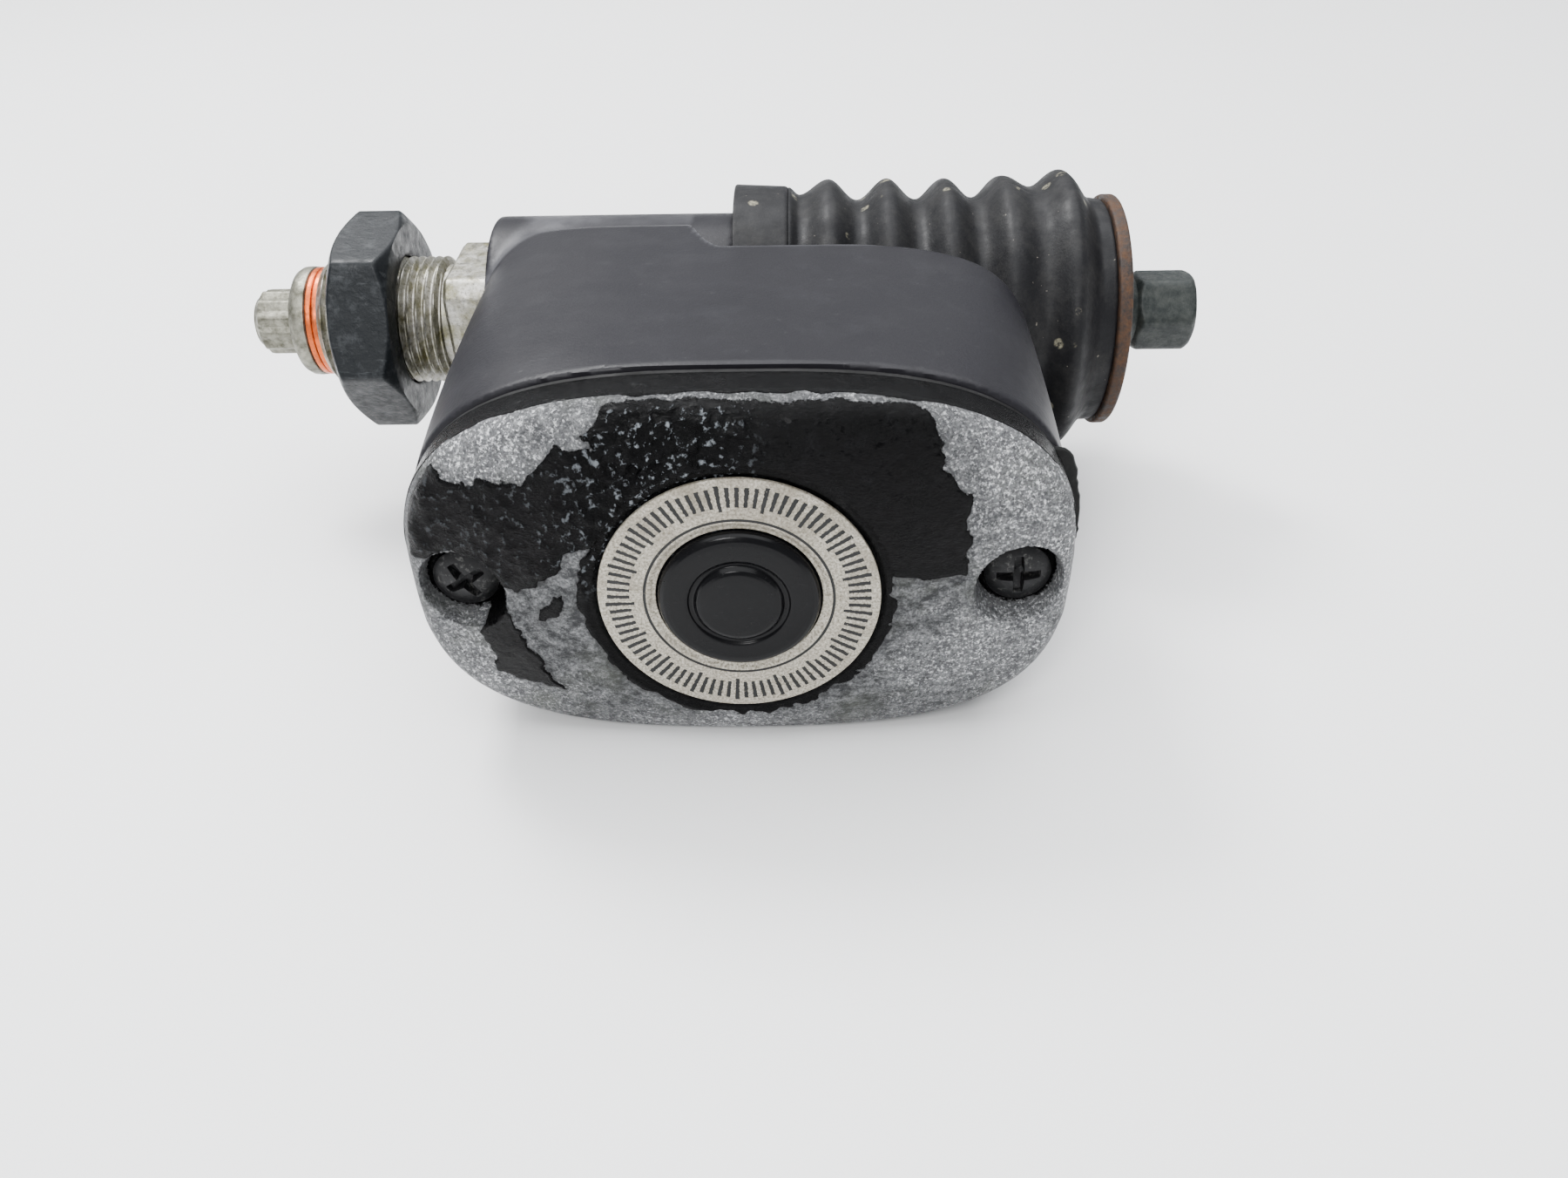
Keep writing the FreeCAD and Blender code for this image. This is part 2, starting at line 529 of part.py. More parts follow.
def piston():
    radius = BORE_RADIUS - PISTON_GAP
    front, rear = PISTON_FRONT_X, STOP_X
    nose = front - CUP_LENGTH - 1.0
    waist = radius - WAIST_DEPTH
    groove = radius - SEAL_DEPTH
    body = turned_x([(nose, 0), (nose, STUB_RADIUS), (front, STUB_RADIUS), (front, radius),
                     (front + 2.5, radius), (front + 3.5, waist), (SEAL_X - 3.5, waist),
                     (SEAL_X - 2.5, radius), (SEAL_X, radius), (SEAL_X, groove),
                     (SEAL_X + SEAL_WIDTH, groove), (SEAL_X + SEAL_WIDTH, radius), (rear, radius), (rear, 0)])
    socket = Part.makeSphere(BALL_RADIUS + SLIP, Vector(BALL_X, 0, 0))
    return body.cut(socket.fuse(rod_x(BALL_X, rear + 1, BALL_RADIUS + SLIP)))


def primary_cup():
    outer = BORE_RADIUS - CUP_GAP
    base, tip = PISTON_FRONT_X - FIT, PISTON_FRONT_X - CUP_LENGTH
    heel = base - CUP_BASE
    return turned_x([(base, STUB_RADIUS + FIT), (base, outer - 0.3), (heel, outer - 0.2), (tip, outer),
                     (tip, outer - 1.0), (heel, outer - 1.4), (heel, STUB_RADIUS + FIT)])


def cup_washer():
    base = PISTON_FRONT_X - CUP_BASE - 2 * FIT
    ring = rod_x(base - CUP_WASHER_THICKNESS, base, BORE_RADIUS - 1.7)
    return ring.cut(rod_x(base - 1, base + 1, STUB_RADIUS + FIT))


def secondary_seal():
    inner = BORE_RADIUS - PISTON_GAP - SEAL_DEPTH
    outer = BORE_RADIUS - CUP_GAP
    start, end = SEAL_X + 0.1, SEAL_X + SEAL_WIDTH - 0.1
    return turned_x([(start, inner), (start, outer), (start + 0.7, outer - 0.35),
                     (end, outer - 0.5), (end, inner)])


def bore_spring():
    end = PISTON_FRONT_X - CUP_BASE - CUP_WASHER_THICKNESS - 2 * FIT
    return coil(BORE_START, end, BORE_SPRING_RADIUS, BORE_SPRING_WIRE, BORE_SPRING_TURNS)


def pushrod():
    neck_end = CARTRIDGE_END_X + STROKE
    hex_start = SHOULDER_X + ROD_SHOULDER_LENGTH
    shaft = turned_x([(BALL_X, 0), (BALL_X, ROD_NECK_RADIUS), (neck_end, ROD_NECK_RADIUS),
                      (neck_end + 1, ROD_RADIUS), (SHOULDER_X, ROD_RADIUS), (SHOULDER_X, ROD_SHOULDER_RADIUS),
                      (hex_start, ROD_SHOULDER_RADIUS), (hex_start, 0)])
    ball = Part.makeSphere(BALL_RADIUS, Vector(BALL_X, 0, 0))
    grip = hexagon_x(ROD_HEX_RADIUS, hex_start, ROD_END_X, ROD_HEX_TURN)
    edge = ROD_HEX_RADIUS - 0.1
    blank = turned_x([(hex_start, 0), (hex_start, edge - 0.6), (hex_start + 0.8, edge),
                      (ROD_END_X - 0.8, edge), (ROD_END_X, edge - 0.8), (ROD_END_X, 0)])
    rod = shaft.fuse(ball).fuse(grip.common(blank))
    return rod.cut(rod_x(ROD_END_X - ROD_THREAD_DEPTH, ROD_END_X + 1, ROD_THREAD_RADIUS)).removeSplitter()


def end_plate():
    start, end = PLATE_X + FIT, SHOULDER_X - FIT
    plate = turned_x([(start, ROD_RADIUS + SLIP), (start, PLATE_RADIUS - 0.3), (start + 0.3, PLATE_RADIUS),
                      (end - 0.5, PLATE_RADIUS), (end, PLATE_RADIUS - 0.5), (end, ROD_RADIUS + SLIP)])
    return plate


def spring_seat():
    """Dished washer that carries the return spring and clamps the boot's end to the plate."""
    rim = RETURN_RADIUS + RETURN_WIRE
    hub_x = PLATE_X - FIT
    start = INNER_SEAT_X
    return turned_x([(hub_x - SEAT_WASHER_THICKNESS, ROD_RADIUS + SLIP), (hub_x - SEAT_WASHER_THICKNESS, 8.4),
                     (start, 9.6), (start, rim), (start + SEAT_WASHER_THICKNESS, rim),
                     (start + SEAT_WASHER_THICKNESS, 10.0), (hub_x, 8.8), (hub_x, ROD_RADIUS + SLIP)])


# --- Boot and return spring -----------------------------------------------------------------

def boot_line():
    """Outside of the boot as (x, radius) points: collar, folds and end lip."""
    collar_end = BOOT_START_X + BOOT_COLLAR_LENGTH
    line = [(BOOT_START_X, BOOT_COLLAR_RADIUS), (collar_end, BOOT_COLLAR_RADIUS - 0.4)]
    for k in range(BOOT_FOLDS):
        valley_x = FIRST_VALLEY_X + BOOT_PITCH * k
        last = k == BOOT_FOLDS - 1
        valley = BOOT_VALLEY_RADIUS + (0.7 if k == 0 else 1.5 if last else 0.0)
        peak = BOOT_LAST_PEAK_RADIUS if last else BOOT_PEAK_RADIUS
        line += [(valley_x - 0.7, valley), (valley_x + 0.7, valley)]
        peak_x = valley_x + BOOT_PITCH / 2
        line += [(peak_x - 0.6, peak), (peak_x + 0.6, peak)]
    line.append((PLATE_X - 1.8, BOOT_END_RADIUS))
    line.append((PLATE_X, BOOT_END_RADIUS))
    return line


def rubber_boot():
    outside = boot_line()
    groove_start, groove_end = BARREL_END_X + LIP_START, BARREL_END_X + LIP_END
    groove = FLANGE_RADIUS - LIP_DEPTH
    inside = [(BOOT_START_X, FLANGE_RADIUS + FIT), (groove_start + FIT, FLANGE_RADIUS + FIT),
              (groove_start + FIT, groove + FIT), (groove_end - FIT, groove + FIT),
              (groove_end - FIT, FLANGE_RADIUS + FIT), (CARTRIDGE_END_X, FLANGE_RADIUS + FIT)]
    for x, radius in outside[2:-2]:
        inside.append((x, radius - BOOT_WALL))
    lip = PLATE_X - BOOT_WALL
    inside += [(lip, BOOT_END_RADIUS - BOOT_WALL + 0.6), (lip, BOOT_HOLE_RADIUS), (PLATE_X, BOOT_HOLE_RADIUS)]
    return turned_x(outside + inside[::-1])


def pedal_return_spring():
    return coil(CARTRIDGE_END_X, INNER_SEAT_X, RETURN_RADIUS, RETURN_WIRE, RETURN_TURNS)


# --- Write every piece ----------------------------------------------------------------------

PIECES = [
    reservoir_housing, reservoir_cover, cover_diaphragm, label_ring, sight_glass, sight_glass_o_ring,
    cover_screws, cartridge_body, cartridge_o_ring_front, cartridge_o_ring_rear, mounting_nut,
    sealing_washers, banjo_bolt, stop_washer, retaining_ring, piston, primary_cup, cup_washer,
    secondary_seal, bore_spring, pushrod, end_plate, spring_seat, rubber_boot, pedal_return_spring,
]


def main():
    os.makedirs("parts", exist_ok=True)
    for make in PIECES:
        shape = make()
        box = shape.BoundBox
        size = f"{box.XLength:6.1f} {box.YLength:6.1f} {box.ZLength:6.1f}"
        print(f"{make.__name__:24s} solids {len(shape.Solids)} volume {shape.Volume:9.1f} size {size}")
        shape.exportStep(f"parts/{make.__name__}.step")


main()
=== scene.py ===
# %% [markdown]
# # A rear brake master cylinder
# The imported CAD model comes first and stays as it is: it gives every place and size, and its
# bodies move when the brake is pressed. The pieces below are drawn around it. Lengths in this file
# are in millimetres until a mesh is made, because a mechanic's drawing of this part would be too.

# %% Load the frame
import math

import bpy
import numpy as np
from mathutils import Matrix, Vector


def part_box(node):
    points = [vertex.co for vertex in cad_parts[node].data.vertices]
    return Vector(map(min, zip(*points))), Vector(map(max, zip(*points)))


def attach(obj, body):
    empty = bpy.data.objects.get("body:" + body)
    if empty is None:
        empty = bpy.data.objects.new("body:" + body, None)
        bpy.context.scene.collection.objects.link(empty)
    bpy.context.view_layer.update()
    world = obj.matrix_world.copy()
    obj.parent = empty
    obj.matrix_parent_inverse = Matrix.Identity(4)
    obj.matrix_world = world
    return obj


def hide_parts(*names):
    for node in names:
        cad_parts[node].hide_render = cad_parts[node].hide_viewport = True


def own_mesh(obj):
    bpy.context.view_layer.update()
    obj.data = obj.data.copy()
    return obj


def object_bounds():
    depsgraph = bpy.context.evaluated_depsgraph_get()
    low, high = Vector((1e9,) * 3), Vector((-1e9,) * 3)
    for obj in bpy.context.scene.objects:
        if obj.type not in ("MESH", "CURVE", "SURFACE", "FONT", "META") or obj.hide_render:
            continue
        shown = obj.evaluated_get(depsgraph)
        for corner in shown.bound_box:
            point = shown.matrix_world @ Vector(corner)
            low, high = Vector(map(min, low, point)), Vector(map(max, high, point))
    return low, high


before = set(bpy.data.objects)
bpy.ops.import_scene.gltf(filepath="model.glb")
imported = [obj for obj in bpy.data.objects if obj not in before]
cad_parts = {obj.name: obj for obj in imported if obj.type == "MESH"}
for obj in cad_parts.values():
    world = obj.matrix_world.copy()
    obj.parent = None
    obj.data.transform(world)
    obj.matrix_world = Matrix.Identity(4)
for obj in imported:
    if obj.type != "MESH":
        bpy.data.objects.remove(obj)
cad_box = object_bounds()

MM = 0.001
TURN = 2 * np.pi


def corners(node):
    """Lowest and highest corner of a CAD node, in millimetres."""
    low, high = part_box(node)
    return np.array(low) / MM, np.array(high) / MM


# %% [markdown]
# ## Meshes from grids of points
# Almost every piece here is turned, forged or moulded, so it is a stack of closed rings. A ring is
# a row of points, and a piece is a grid of rows. Numpy works out the whole grid at once, and one
# function knits it into a mesh. A turned profile could also be spun with a modifier, but a grid
# lets the radius change round the ring, which is what gives flats, threads and wrinkles.

# %% Knit a grid into a mesh
def knit(name, grid, close_rows=True, values=None):
    """Mesh from grid[i, j], point j of ring i. Each ring closes on itself. With close_rows the last
    ring joins the first, and without it a fan closes each end. The volume's sign tells whether the
    faces point inwards, and they are turned over if so."""
    rings, count = grid.shape[:2]
    i = np.arange(rings if close_rows else rings - 1)[:, None]
    j = np.arange(count)[None, :]
    after_i, after_j = (i + 1) % rings, (j + 1) % count
    quads = np.stack([i * count + j, i * count + after_j, after_i * count + after_j, after_i * count + j], -1)
    quads = quads.reshape(-1, 4)
    points = grid.reshape(-1, 3)
    faces = quads.tolist()
    if not close_rows:
        points = np.vstack([points, grid[0].mean(0), grid[-1].mean(0)])
        start, end = rings * count, rings * count + 1
        last = (rings - 1) * count
        around = np.arange(count)
        faces += np.stack([np.full(count, start), (around + 1) % count, around], -1).tolist()
        faces += np.stack([np.full(count, end), last + around, last + (around + 1) % count], -1).tolist()
    a, b, c, d = (points[quads[:, k]] for k in range(4))
    volume = np.einsum("ij,ij->i", a, np.cross(b, c)).sum() + np.einsum("ij,ij->i", a, np.cross(c, d)).sum()
    if volume < 0:
        faces = [face[::-1] for face in faces]
    mesh = bpy.data.meshes.new(name)
    mesh.from_pydata((points * MM).tolist(), [], faces)
    mesh.shade_smooth()
    mesh.set_sharp_from_angle(angle=math.radians(40))
    for key, field in (values or {}).items():
        flat = np.zeros(len(points), np.float32)
        flat[:field.size] = field.ravel()
        mesh.attributes.new(key, "FLOAT", "POINT").data.foreach_set("value", flat)
    piece = bpy.data.objects.new(name, mesh)
    bpy.context.scene.collection.objects.link(piece)
    print(f"{name:22s} {len(faces):7d} faces")
    return piece


def rounded(profile, reach, steps=4):
    """A closed line of (along, out) points with softened corners: each corner becomes a parabola
    that leaves the line `reach` before the corner and joins it again `reach` after."""
    line = np.asarray(profile, float)
    into, on = np.roll(line, 1, 0) - line, np.roll(line, -1, 0) - line
    size = np.minimum(np.linalg.norm(into, axis=1), np.linalg.norm(on, axis=1)) * 0.45
    reach = np.minimum(reach, size)[:, None]
    first = line + into / np.linalg.norm(into, axis=1)[:, None] * reach
    last = line + on / np.linalg.norm(on, axis=1)[:, None] * reach
    t = np.linspace(0, 1, steps + 1)[None, :, None]
    bend = (1 - t) ** 2 * first[:, None] + 2 * t * (1 - t) * line[:, None] + t ** 2 * last[:, None]
    return bend.reshape(-1, 2)


def around_x(along, out, angle):
    """Rings about the bore: x = along, and y, z = out times the sine and cosine of the angle."""
    along, out, angle = np.broadcast_arrays(along, out, angle)
    return np.stack([along, out * np.sin(angle), out * np.cos(angle)], -1)


def around_y(middle, out, depth, angle):
    """Rings about the cover's own axis: depth is how far in front of the bore a point lies."""
    out, depth, angle = np.broadcast_arrays(out, depth, angle)
    return np.stack([middle[0] + out * np.cos(angle), -depth, middle[1] + out * np.sin(angle)], -1)


def circle(count):
    return TURN * np.arange(count) / count


def turned(name, line, count):
    """A ring turned about the bore from a closed line of (along, out) points."""
    return knit(name, around_x(line[:, :1], line[:, 1:], circle(count)[None, :]))


def stacked(angle, *parts):
    """Two grids, one row per ring, with the parts under each other. A part is a pair of columns, or a
    list of points that each stand for one round ring."""
    pairs = [part if isinstance(part, tuple) else np.array(part, float).T[:, :, None] for part in parts]
    return [np.vstack([np.broadcast_to(pair[k], (len(pair[k]), angle.size)) for pair in pairs])
            for k in (0, 1)]


# %% [markdown]
# Noise on a lattice gives lumps and ragged edges. Soft versions of the larger and the smaller of
# two numbers join shapes with a fillet instead of a hard line.

# %% Shared number helpers
def lumps(u, v, size, seed):
    """Value noise from -1 to 1: random heights on a lattice `size` apart, blended between its points
    with the weight 3t^2 - 2t^3."""
    heights = np.random.default_rng(seed).uniform(-1, 1, (128, 128))
    u, v = u / size + 64.3, v / size + 64.7
    i, j = np.floor(u).astype(int), np.floor(v).astype(int)
    s, t = u - i, v - j
    s, t = s * s * (3 - 2 * s), t * t * (3 - 2 * t)
    i0, i1, j0, j1 = i % 128, (i + 1) % 128, j % 128, (j + 1) % 128
    low = heights[i0, j0] * (1 - s) + heights[i1, j0] * s
    high = heights[i0, j1] * (1 - s) + heights[i1, j1] * s
    return low * (1 - t) + high * t


def larger(a, b, soft):
    """The larger of two fields, with a fillet about `soft` wide where they are equal."""
    share = np.clip(0.5 + 0.5 * (a - b) / soft, 0, 1)
    return b + (a - b) * share + soft * share * (1 - share)


def smaller(a, b, soft):
    return -larger(-a, -b, soft)


def ease(value, low, high):
    """0 below low, 1 above high, and 3t^2 - 2t^3 between them."""
    t = np.clip((value - low) / (high - low), 0, 1)
    return t * t * (3 - 2 * t)


def flats(angle, corner, count, turn=0.0):
    """Distance from the axis to a regular polygon: its apothem over the cosine of the angle from the
    middle of the nearest flat."""
    half = np.pi / count
    off = (angle - math.radians(turn) + 2 * half) % (2 * half) - half
    return corner * math.cos(half) / np.cos(off)


def oval_out(angle, wide, tall, power):
    """Distance from the middle to an oval: 1 / (|cos|^p / a^p + |sin|^p / b^p)^(1/p)."""
    across = (np.abs(np.cos(angle)) / wide) ** power
    return 1 / (across + (np.abs(np.sin(angle)) / tall) ** power) ** (1 / power)


# %% [markdown]
# ## Finishes
# Each finish is a node tree on Object coordinates, so the grain has a real size whatever the
# piece. A small class keeps the trees readable: it names the few nodes that a painter of metal and
# rubber needs. Image textures would hold more detail, but these must survive on any mesh.

# %% A short way to write a node tree
class Finish:
    def __init__(self, name, color, roughness=0.5, metallic=0.0, specular=0.5):
        self.material = bpy.data.materials.new(name)
        self.material.use_nodes = True
        self.tree = self.material.node_tree
        self.shader = self.tree.nodes["Principled BSDF"]
        self.place = self.tree.nodes.new("ShaderNodeTexCoord").outputs["Object"]
        self.set("Base Color", color)
        self.set("Roughness", roughness)
        self.set("Metallic", metallic)
        self.set("Specular IOR Level", specular)

    def put(self, socket, value):
        """A link if value comes from a node, else a constant."""
        if isinstance(value, bpy.types.NodeSocket):
            self.tree.links.new(value, socket)
        elif isinstance(value, tuple):
            socket.default_value = (*value, 1.0)[:len(socket.default_value)]
        else:
            socket.default_value = value

    def set(self, name, value):
        self.put(self.shader.inputs[name], value)

    def add(self, kind, inputs=(), **settings):
        node = self.tree.nodes.new(kind)
        for key, value in settings.items():
            setattr(node, key, value)
        for key, value in dict(inputs).items():
            self.put(node.inputs[key], value)
        return node

    def noise(self, size, detail=4.0, roughness=0.55, seed=0.0, stretch=(1, 1, 1)):
        """Soft noise whose lumps are about `size` millimetres across, from 0 to 1 round 0.5."""
        place = self.add("ShaderNodeMapping", {"Vector": self.place, "Scale": stretch,
                                               "Location": (seed, seed * 0.7, -seed)}).outputs[0]
        return self.add("ShaderNodeTexNoise", {"Vector": place, "Scale": 1000 / size, "Detail": detail,
                                               "Roughness": roughness}).outputs["Fac"]

    def cells(self, size, seed=0.0):
        """Distance to the nearest point of a random scatter, about `size` millimetres apart."""
        place = self.add("ShaderNodeMapping", {"Vector": self.place, "Location": (seed, seed, seed)})
        grid = {"Vector": place.outputs[0], "Scale": 1000 / size}
        return self.add("ShaderNodeTexVoronoi", grid).outputs["Distance"]

    def calc(self, operation, a, b=0.5):
        return self.add("ShaderNodeMath", {0: a, 1: b}, operation=operation).outputs[0]

    def times(self, a, b):
        return self.calc("MULTIPLY", a, b)

    def plus(self, a, b):
        return self.calc("ADD", a, b)

    def minus(self, a, b):
        return self.calc("SUBTRACT", a, b)

    def range(self, value, low, high, to_low=0.0, to_high=1.0):
        return self.add("ShaderNodeMapRange", {"Value": value, "From Min": low, "From Max": high,
                                               "To Min": to_low, "To Max": to_high}).outputs[0]

    def patches(self, noise, low, high, to_low=0.0, to_high=1.0):
        """Noise cut off at low and high, which become to_low and to_high."""
        return self.range(self.noise(*noise), low, high, to_low, to_high)

    def mix(self, share, a, b):
        return self.add("ShaderNodeMix", {0: share, 6: a, 7: b}, data_type="RGBA").outputs[2]

    def over(self, share, color):
        """Lays a colour over the base colour so far, as thickly as share says."""
        below = self.shader.inputs["Base Color"].links[0].from_socket
        self.set("Base Color", self.mix(share, below, color))

    def field(self, name):
        return self.add("ShaderNodeAttribute", attribute_name=name).outputs["Fac"]

    def bump(self, *layers):
        """Each layer is (height, depth in millimetres); they add up from first to last. A height
        may be written as the numbers of a noise."""
        normal = None
        for height, depth in layers:
            height = self.noise(*height) if isinstance(height, tuple) else height
            node = self.add("ShaderNodeBump", {"Height": height, "Strength": 1.0, "Distance": depth * MM})
            if normal is not None:
                self.put(node.inputs["Normal"], normal)
            normal = node.outputs[0]
        self.set("Normal", normal)


def two_tone(name, first, second, share, gloss, *bumps, metallic=0.0, specular=0.5):
    """The usual finish. The second colour lies over the first in the patches `share`, and `gloss` is
    a noise followed by the roughness where it is low and where it is high."""
    finish = Finish(name, second, gloss[2], metallic, specular)
    finish.set("Base Color", finish.mix(finish.patches(*share), first, second))
    finish.set("Roughness", finish.patches(gloss[0], 0.3, 0.7, *gloss[1:]))
    finish.bump(*bumps)
    return finish


def wear(piece, finish):
    """Puts a finish on a new piece or on a CAD node."""
    piece.data.materials.clear()
    piece.data.materials.append(finish.material)


def fit(piece, body, slot, *nodes):
    """Rides a finished piece on its body and hides the CAD nodes it stands for. The slot is not used."""
    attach(piece, body)
    if nodes:
        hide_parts(*nodes)
    return piece


# %% [markdown]
# ## The reservoir casting
# The housing is one aluminium casting: a drafted oval pot whose back half is cut away for the
# boot, with a round barrel along the top for the steel cylinder. Cast edges are never sharp, and
# where the pot meets the barrel the metal flows. Rings can't branch like that, so the casting is
# a distance field: numbers that are below zero inside the metal. Soft maxima and minima of simple
# fields give the fillets, and a net of points is pulled onto the place where the field is zero.

# %% Sizes of the casting
cover_low, cover_high = corners("reservoir_cover")
CENTRE = (cover_low[[0, 2]] + cover_high[[0, 2]]) / 2
HALF_WIDE, HALF_TALL = (cover_high[[0, 2]] - cover_low[[0, 2]]) / 2
OVAL, BACK_OVAL = 2.9, 6.5
RUBBER = 0.9
RIM = -cover_high[1] - RUBBER
LID_BACK = RIM + RUBBER
BACK = 3.8
TOP_FALL, END_FALL = 2.9, 1.4
WALL = 3.0
BARREL = 15.2
BARREL_FROM, BARREL_TO = 8.2, 44.2
STEP_FROM, STEP_TO = 36.0, 42.9
RECESS = 21.6
CYLINDER_FIT = 12.22
SCREW_OUT, BOSS, BOSS_DEEP = 32.8, 4.2, 12
print("cover centre", CENTRE.round(2), "half size", round(HALF_WIDE, 2), round(HALF_TALL, 2))


# %% The casting as a field
def pot(x, y, z, inset=0.0):
    """Distance to the drafted oval wall: (g - 1) over the slope of g, where
    g = (|u|^p + |v|^p)^(1/p) and u, v are measured in half-widths at that depth. The power p grows
    towards the back, where the oval is squarer."""
    share = (RIM + y) / (RIM - BACK)
    power = OVAL + (BACK_OVAL - OVAL) * np.clip(share, 0, 1)
    top = CENTRE[1] + HALF_TALL + 0.4 - TOP_FALL * share - inset
    bottom = CENTRE[1] - HALF_TALL + inset
    wide = HALF_WIDE + 0.2 - END_FALL * share - inset
    tall = (top - bottom) / 2
    u = np.abs(x - CENTRE[0]) / wide
    v = np.abs(z - (top + bottom) / 2) / tall
    g = np.maximum((u ** power + v ** power) ** (1 / power), 0.05)
    slope = g ** (1 - power) * np.hypot(u ** (power - 1) / wide, v ** (power - 1) / tall)
    return (g - 1) / np.maximum(slope, 0.004)


def boot_room(x, y, z):
    """Below zero in the space kept free for the boot: a round bay whose wall eases out from the
    barrel, open downwards."""
    bay = np.hypot(y, z) - (BARREL + (RECESS - BARREL) * ease(x, STEP_FROM, STEP_TO))
    below = np.maximum(np.maximum(STEP_TO - x, -RECESS - y), z)
    return np.minimum(bay, below)


def casting(x, y, z):
    out = np.hypot(y, z)
    room = boot_room(x, y, z)
    shell = larger(pot(x, y, z), y + BACK, 1.6)
    shell = larger(shell, -RIM - y, 0.5)
    shoulder = 0.9 + 3.2 * ease(x, 58, 84)
    shell = larger(shell, -room, shoulder)
    barrel = larger(larger(out - BARREL, BARREL_FROM - x, 0.7), x - BARREL_TO, 0.4)
    shell = smaller(shell, barrel, 1.1)
    hollow = larger(pot(x, y, z, WALL), y + BACK + WALL, 2.0)
    hollow = np.maximum(np.maximum(hollow, WALL - room), BARREL - out)
    ends = np.hypot(np.abs(x - CENTRE[0]) - SCREW_OUT, z - CENTRE[1]) - BOSS
    boss = np.maximum(ends, y + RIM - BOSS_DEEP)
    hollow = np.maximum(hollow, -boss)
    return np.maximum(np.maximum(shell, -hollow), CYLINDER_FIT - out)


# %% Pull a net onto the field
NUDGE = 0.02


def crest_highlight_mask(x, y, z):
    """1 on the crest where the pot's wall turns over into its back or into the boot's bay, and 0 about
    1.5 mm away: the larger of the two distances is small only where both surfaces are near. It places
    the casting's painted highlight."""
    wall = np.abs(pot(x, y, z))
    back = np.maximum(wall, np.abs(y + BACK))
    bay = np.maximum(wall, np.abs(boot_room(x, y, z)))
    return 1 - ease(np.minimum(back, bay), 0.35, 1.3)


def net(name, field, low, high, step, values):
    """Surface net. The field is sampled on a lattice. Each lattice cube that the surface crosses
    gets one point, moved along the field's slope until the field is zero there. Each lattice edge
    that the surface crosses gets one face, between the four cubes round it."""
    axes = [np.arange(a, b + step, step) for a, b in zip(low, high)]
    inside = field(*np.meshgrid(*axes, indexing="ij")) < 0
    size = np.array(inside.shape) - 1
    count = np.zeros(size, np.int8)
    for i in (0, 1):
        for j in (0, 1):
            for k in (0, 1):
                count += inside[i:i + size[0], j:j + size[1], k:k + size[2]]
    crossed = (count > 0) & (count < 8)
    index = np.full(size, -1)
    index[crossed] = np.arange(crossed.sum())
    middle = (np.argwhere(crossed) + 0.5) * step + np.array(low)
    points = middle.copy()
    for _ in range(8):
        here = field(*points.T)
        slope = [field(*(points + d).T) - field(*(points - d).T) for d in np.eye(3) * NUDGE]
        slope = np.stack(slope, -1) / (2 * NUDGE)
        points -= (here / np.maximum((slope ** 2).sum(1), 0.05))[:, None] * slope
        points = middle + np.clip(points - middle, -0.7 * step, 0.7 * step)
    faces = []
    for axis in range(3):
        along = [slice(1, -1)] * 3
        along[axis] = slice(0, -1)
        ahead = list(along)
        ahead[axis] = slice(1, None)
        first, second = inside[tuple(along)], inside[tuple(ahead)]
        b, c = (axis + 1) % 3, (axis + 2) % 3
        for leaving in (True, False):
            cell = np.argwhere((first != second) & (first == leaving)) + 1
            cell[:, axis] -= 1
            ring = []
            for db, dc in ((0, 0), (-1, 0), (-1, -1), (0, -1)):
                near = cell.copy()
                near[:, b] += db
                near[:, c] += dc
                ring.append(index[tuple(near.T)])
            ring = np.stack(ring, -1)
            faces.append(ring if leaving else ring[:, ::-1])
    faces = np.vstack(faces)
    mesh = bpy.data.meshes.new(name)
    mesh.from_pydata((points * MM).tolist(), [], faces.tolist())
    mesh.shade_smooth()
    mesh.set_sharp_from_angle(angle=math.radians(50))
    for key, value in values.items():
        numbers = value(*points.T).astype(np.float32)
        mesh.attributes.new(key, "FLOAT", "POINT").data.foreach_set("value", numbers)
    piece = bpy.data.objects.new(name, mesh)
    bpy.context.scene.collection.objects.link(piece)
    print(f"{name:22s} {len(faces):7d} faces")
    return piece


housing = net("housing_casting", casting, (5.5, -55.5, -31.0), (87.0, 16.5, 20.5), 0.7,
              {"rubbed": crest_highlight_mask})
fit(housing, "cylinder_body", "black_coated_casting", "reservoir_housing")

# %% [markdown]
# Its finish is a satin black coating with a fine grain and faint pale scuffs and dust. The crests,
# where the pot turns over into its back and into the boot's bay, carry a paler painted highlight.

# %% Satin black coating
coating = two_tone("satin_black_coating", (0.0095, 0.009, 0.0115), (0.024, 0.024, 0.027),
                   ((7, 5, 0.7, 8), 0.5, 0.75, 0, 0.35), ((14, 4, 0.6), 0.34, 0.5),
                   ((0.45, 3, 0.6), 0.035), ((3.5, 3), 0.03), specular=0.2)
coating.over(coating.patches((2.2, 5, 0.7, 3, (1, 1, 0.25)), 0.66, 0.74, 0, 0.25), (0.09, 0.09, 0.09))
# Painted highlight: a paler colour along the crests stands in for the light they catch.
painted_crest_highlight = coating.times(coating.field("rubbed"), coating.patches((5, 4, 0.6, 5), 0.3, 0.6, 0.28, 0.8))
coating.over(painted_crest_highlight, (0.085, 0.085, 0.092))
wear(housing, coating)

# %% [markdown]
# ## The cover
# The cover is a cast aluminium lid, crowned like a bar of soap, with a flat seat for the label
# ring and a scoop for each screw. It was painted with thick black wrinkle paint, and most of that has
# flaked away, so the paint is real thickness here and not only colour. The grid runs from the hole for
# the sight glass, out over the crown, round the edge and back underneath. Where paint is left,
# the surface stands a little higher and is lumpy.

# %% Where the paint is left
LABEL = 16.4
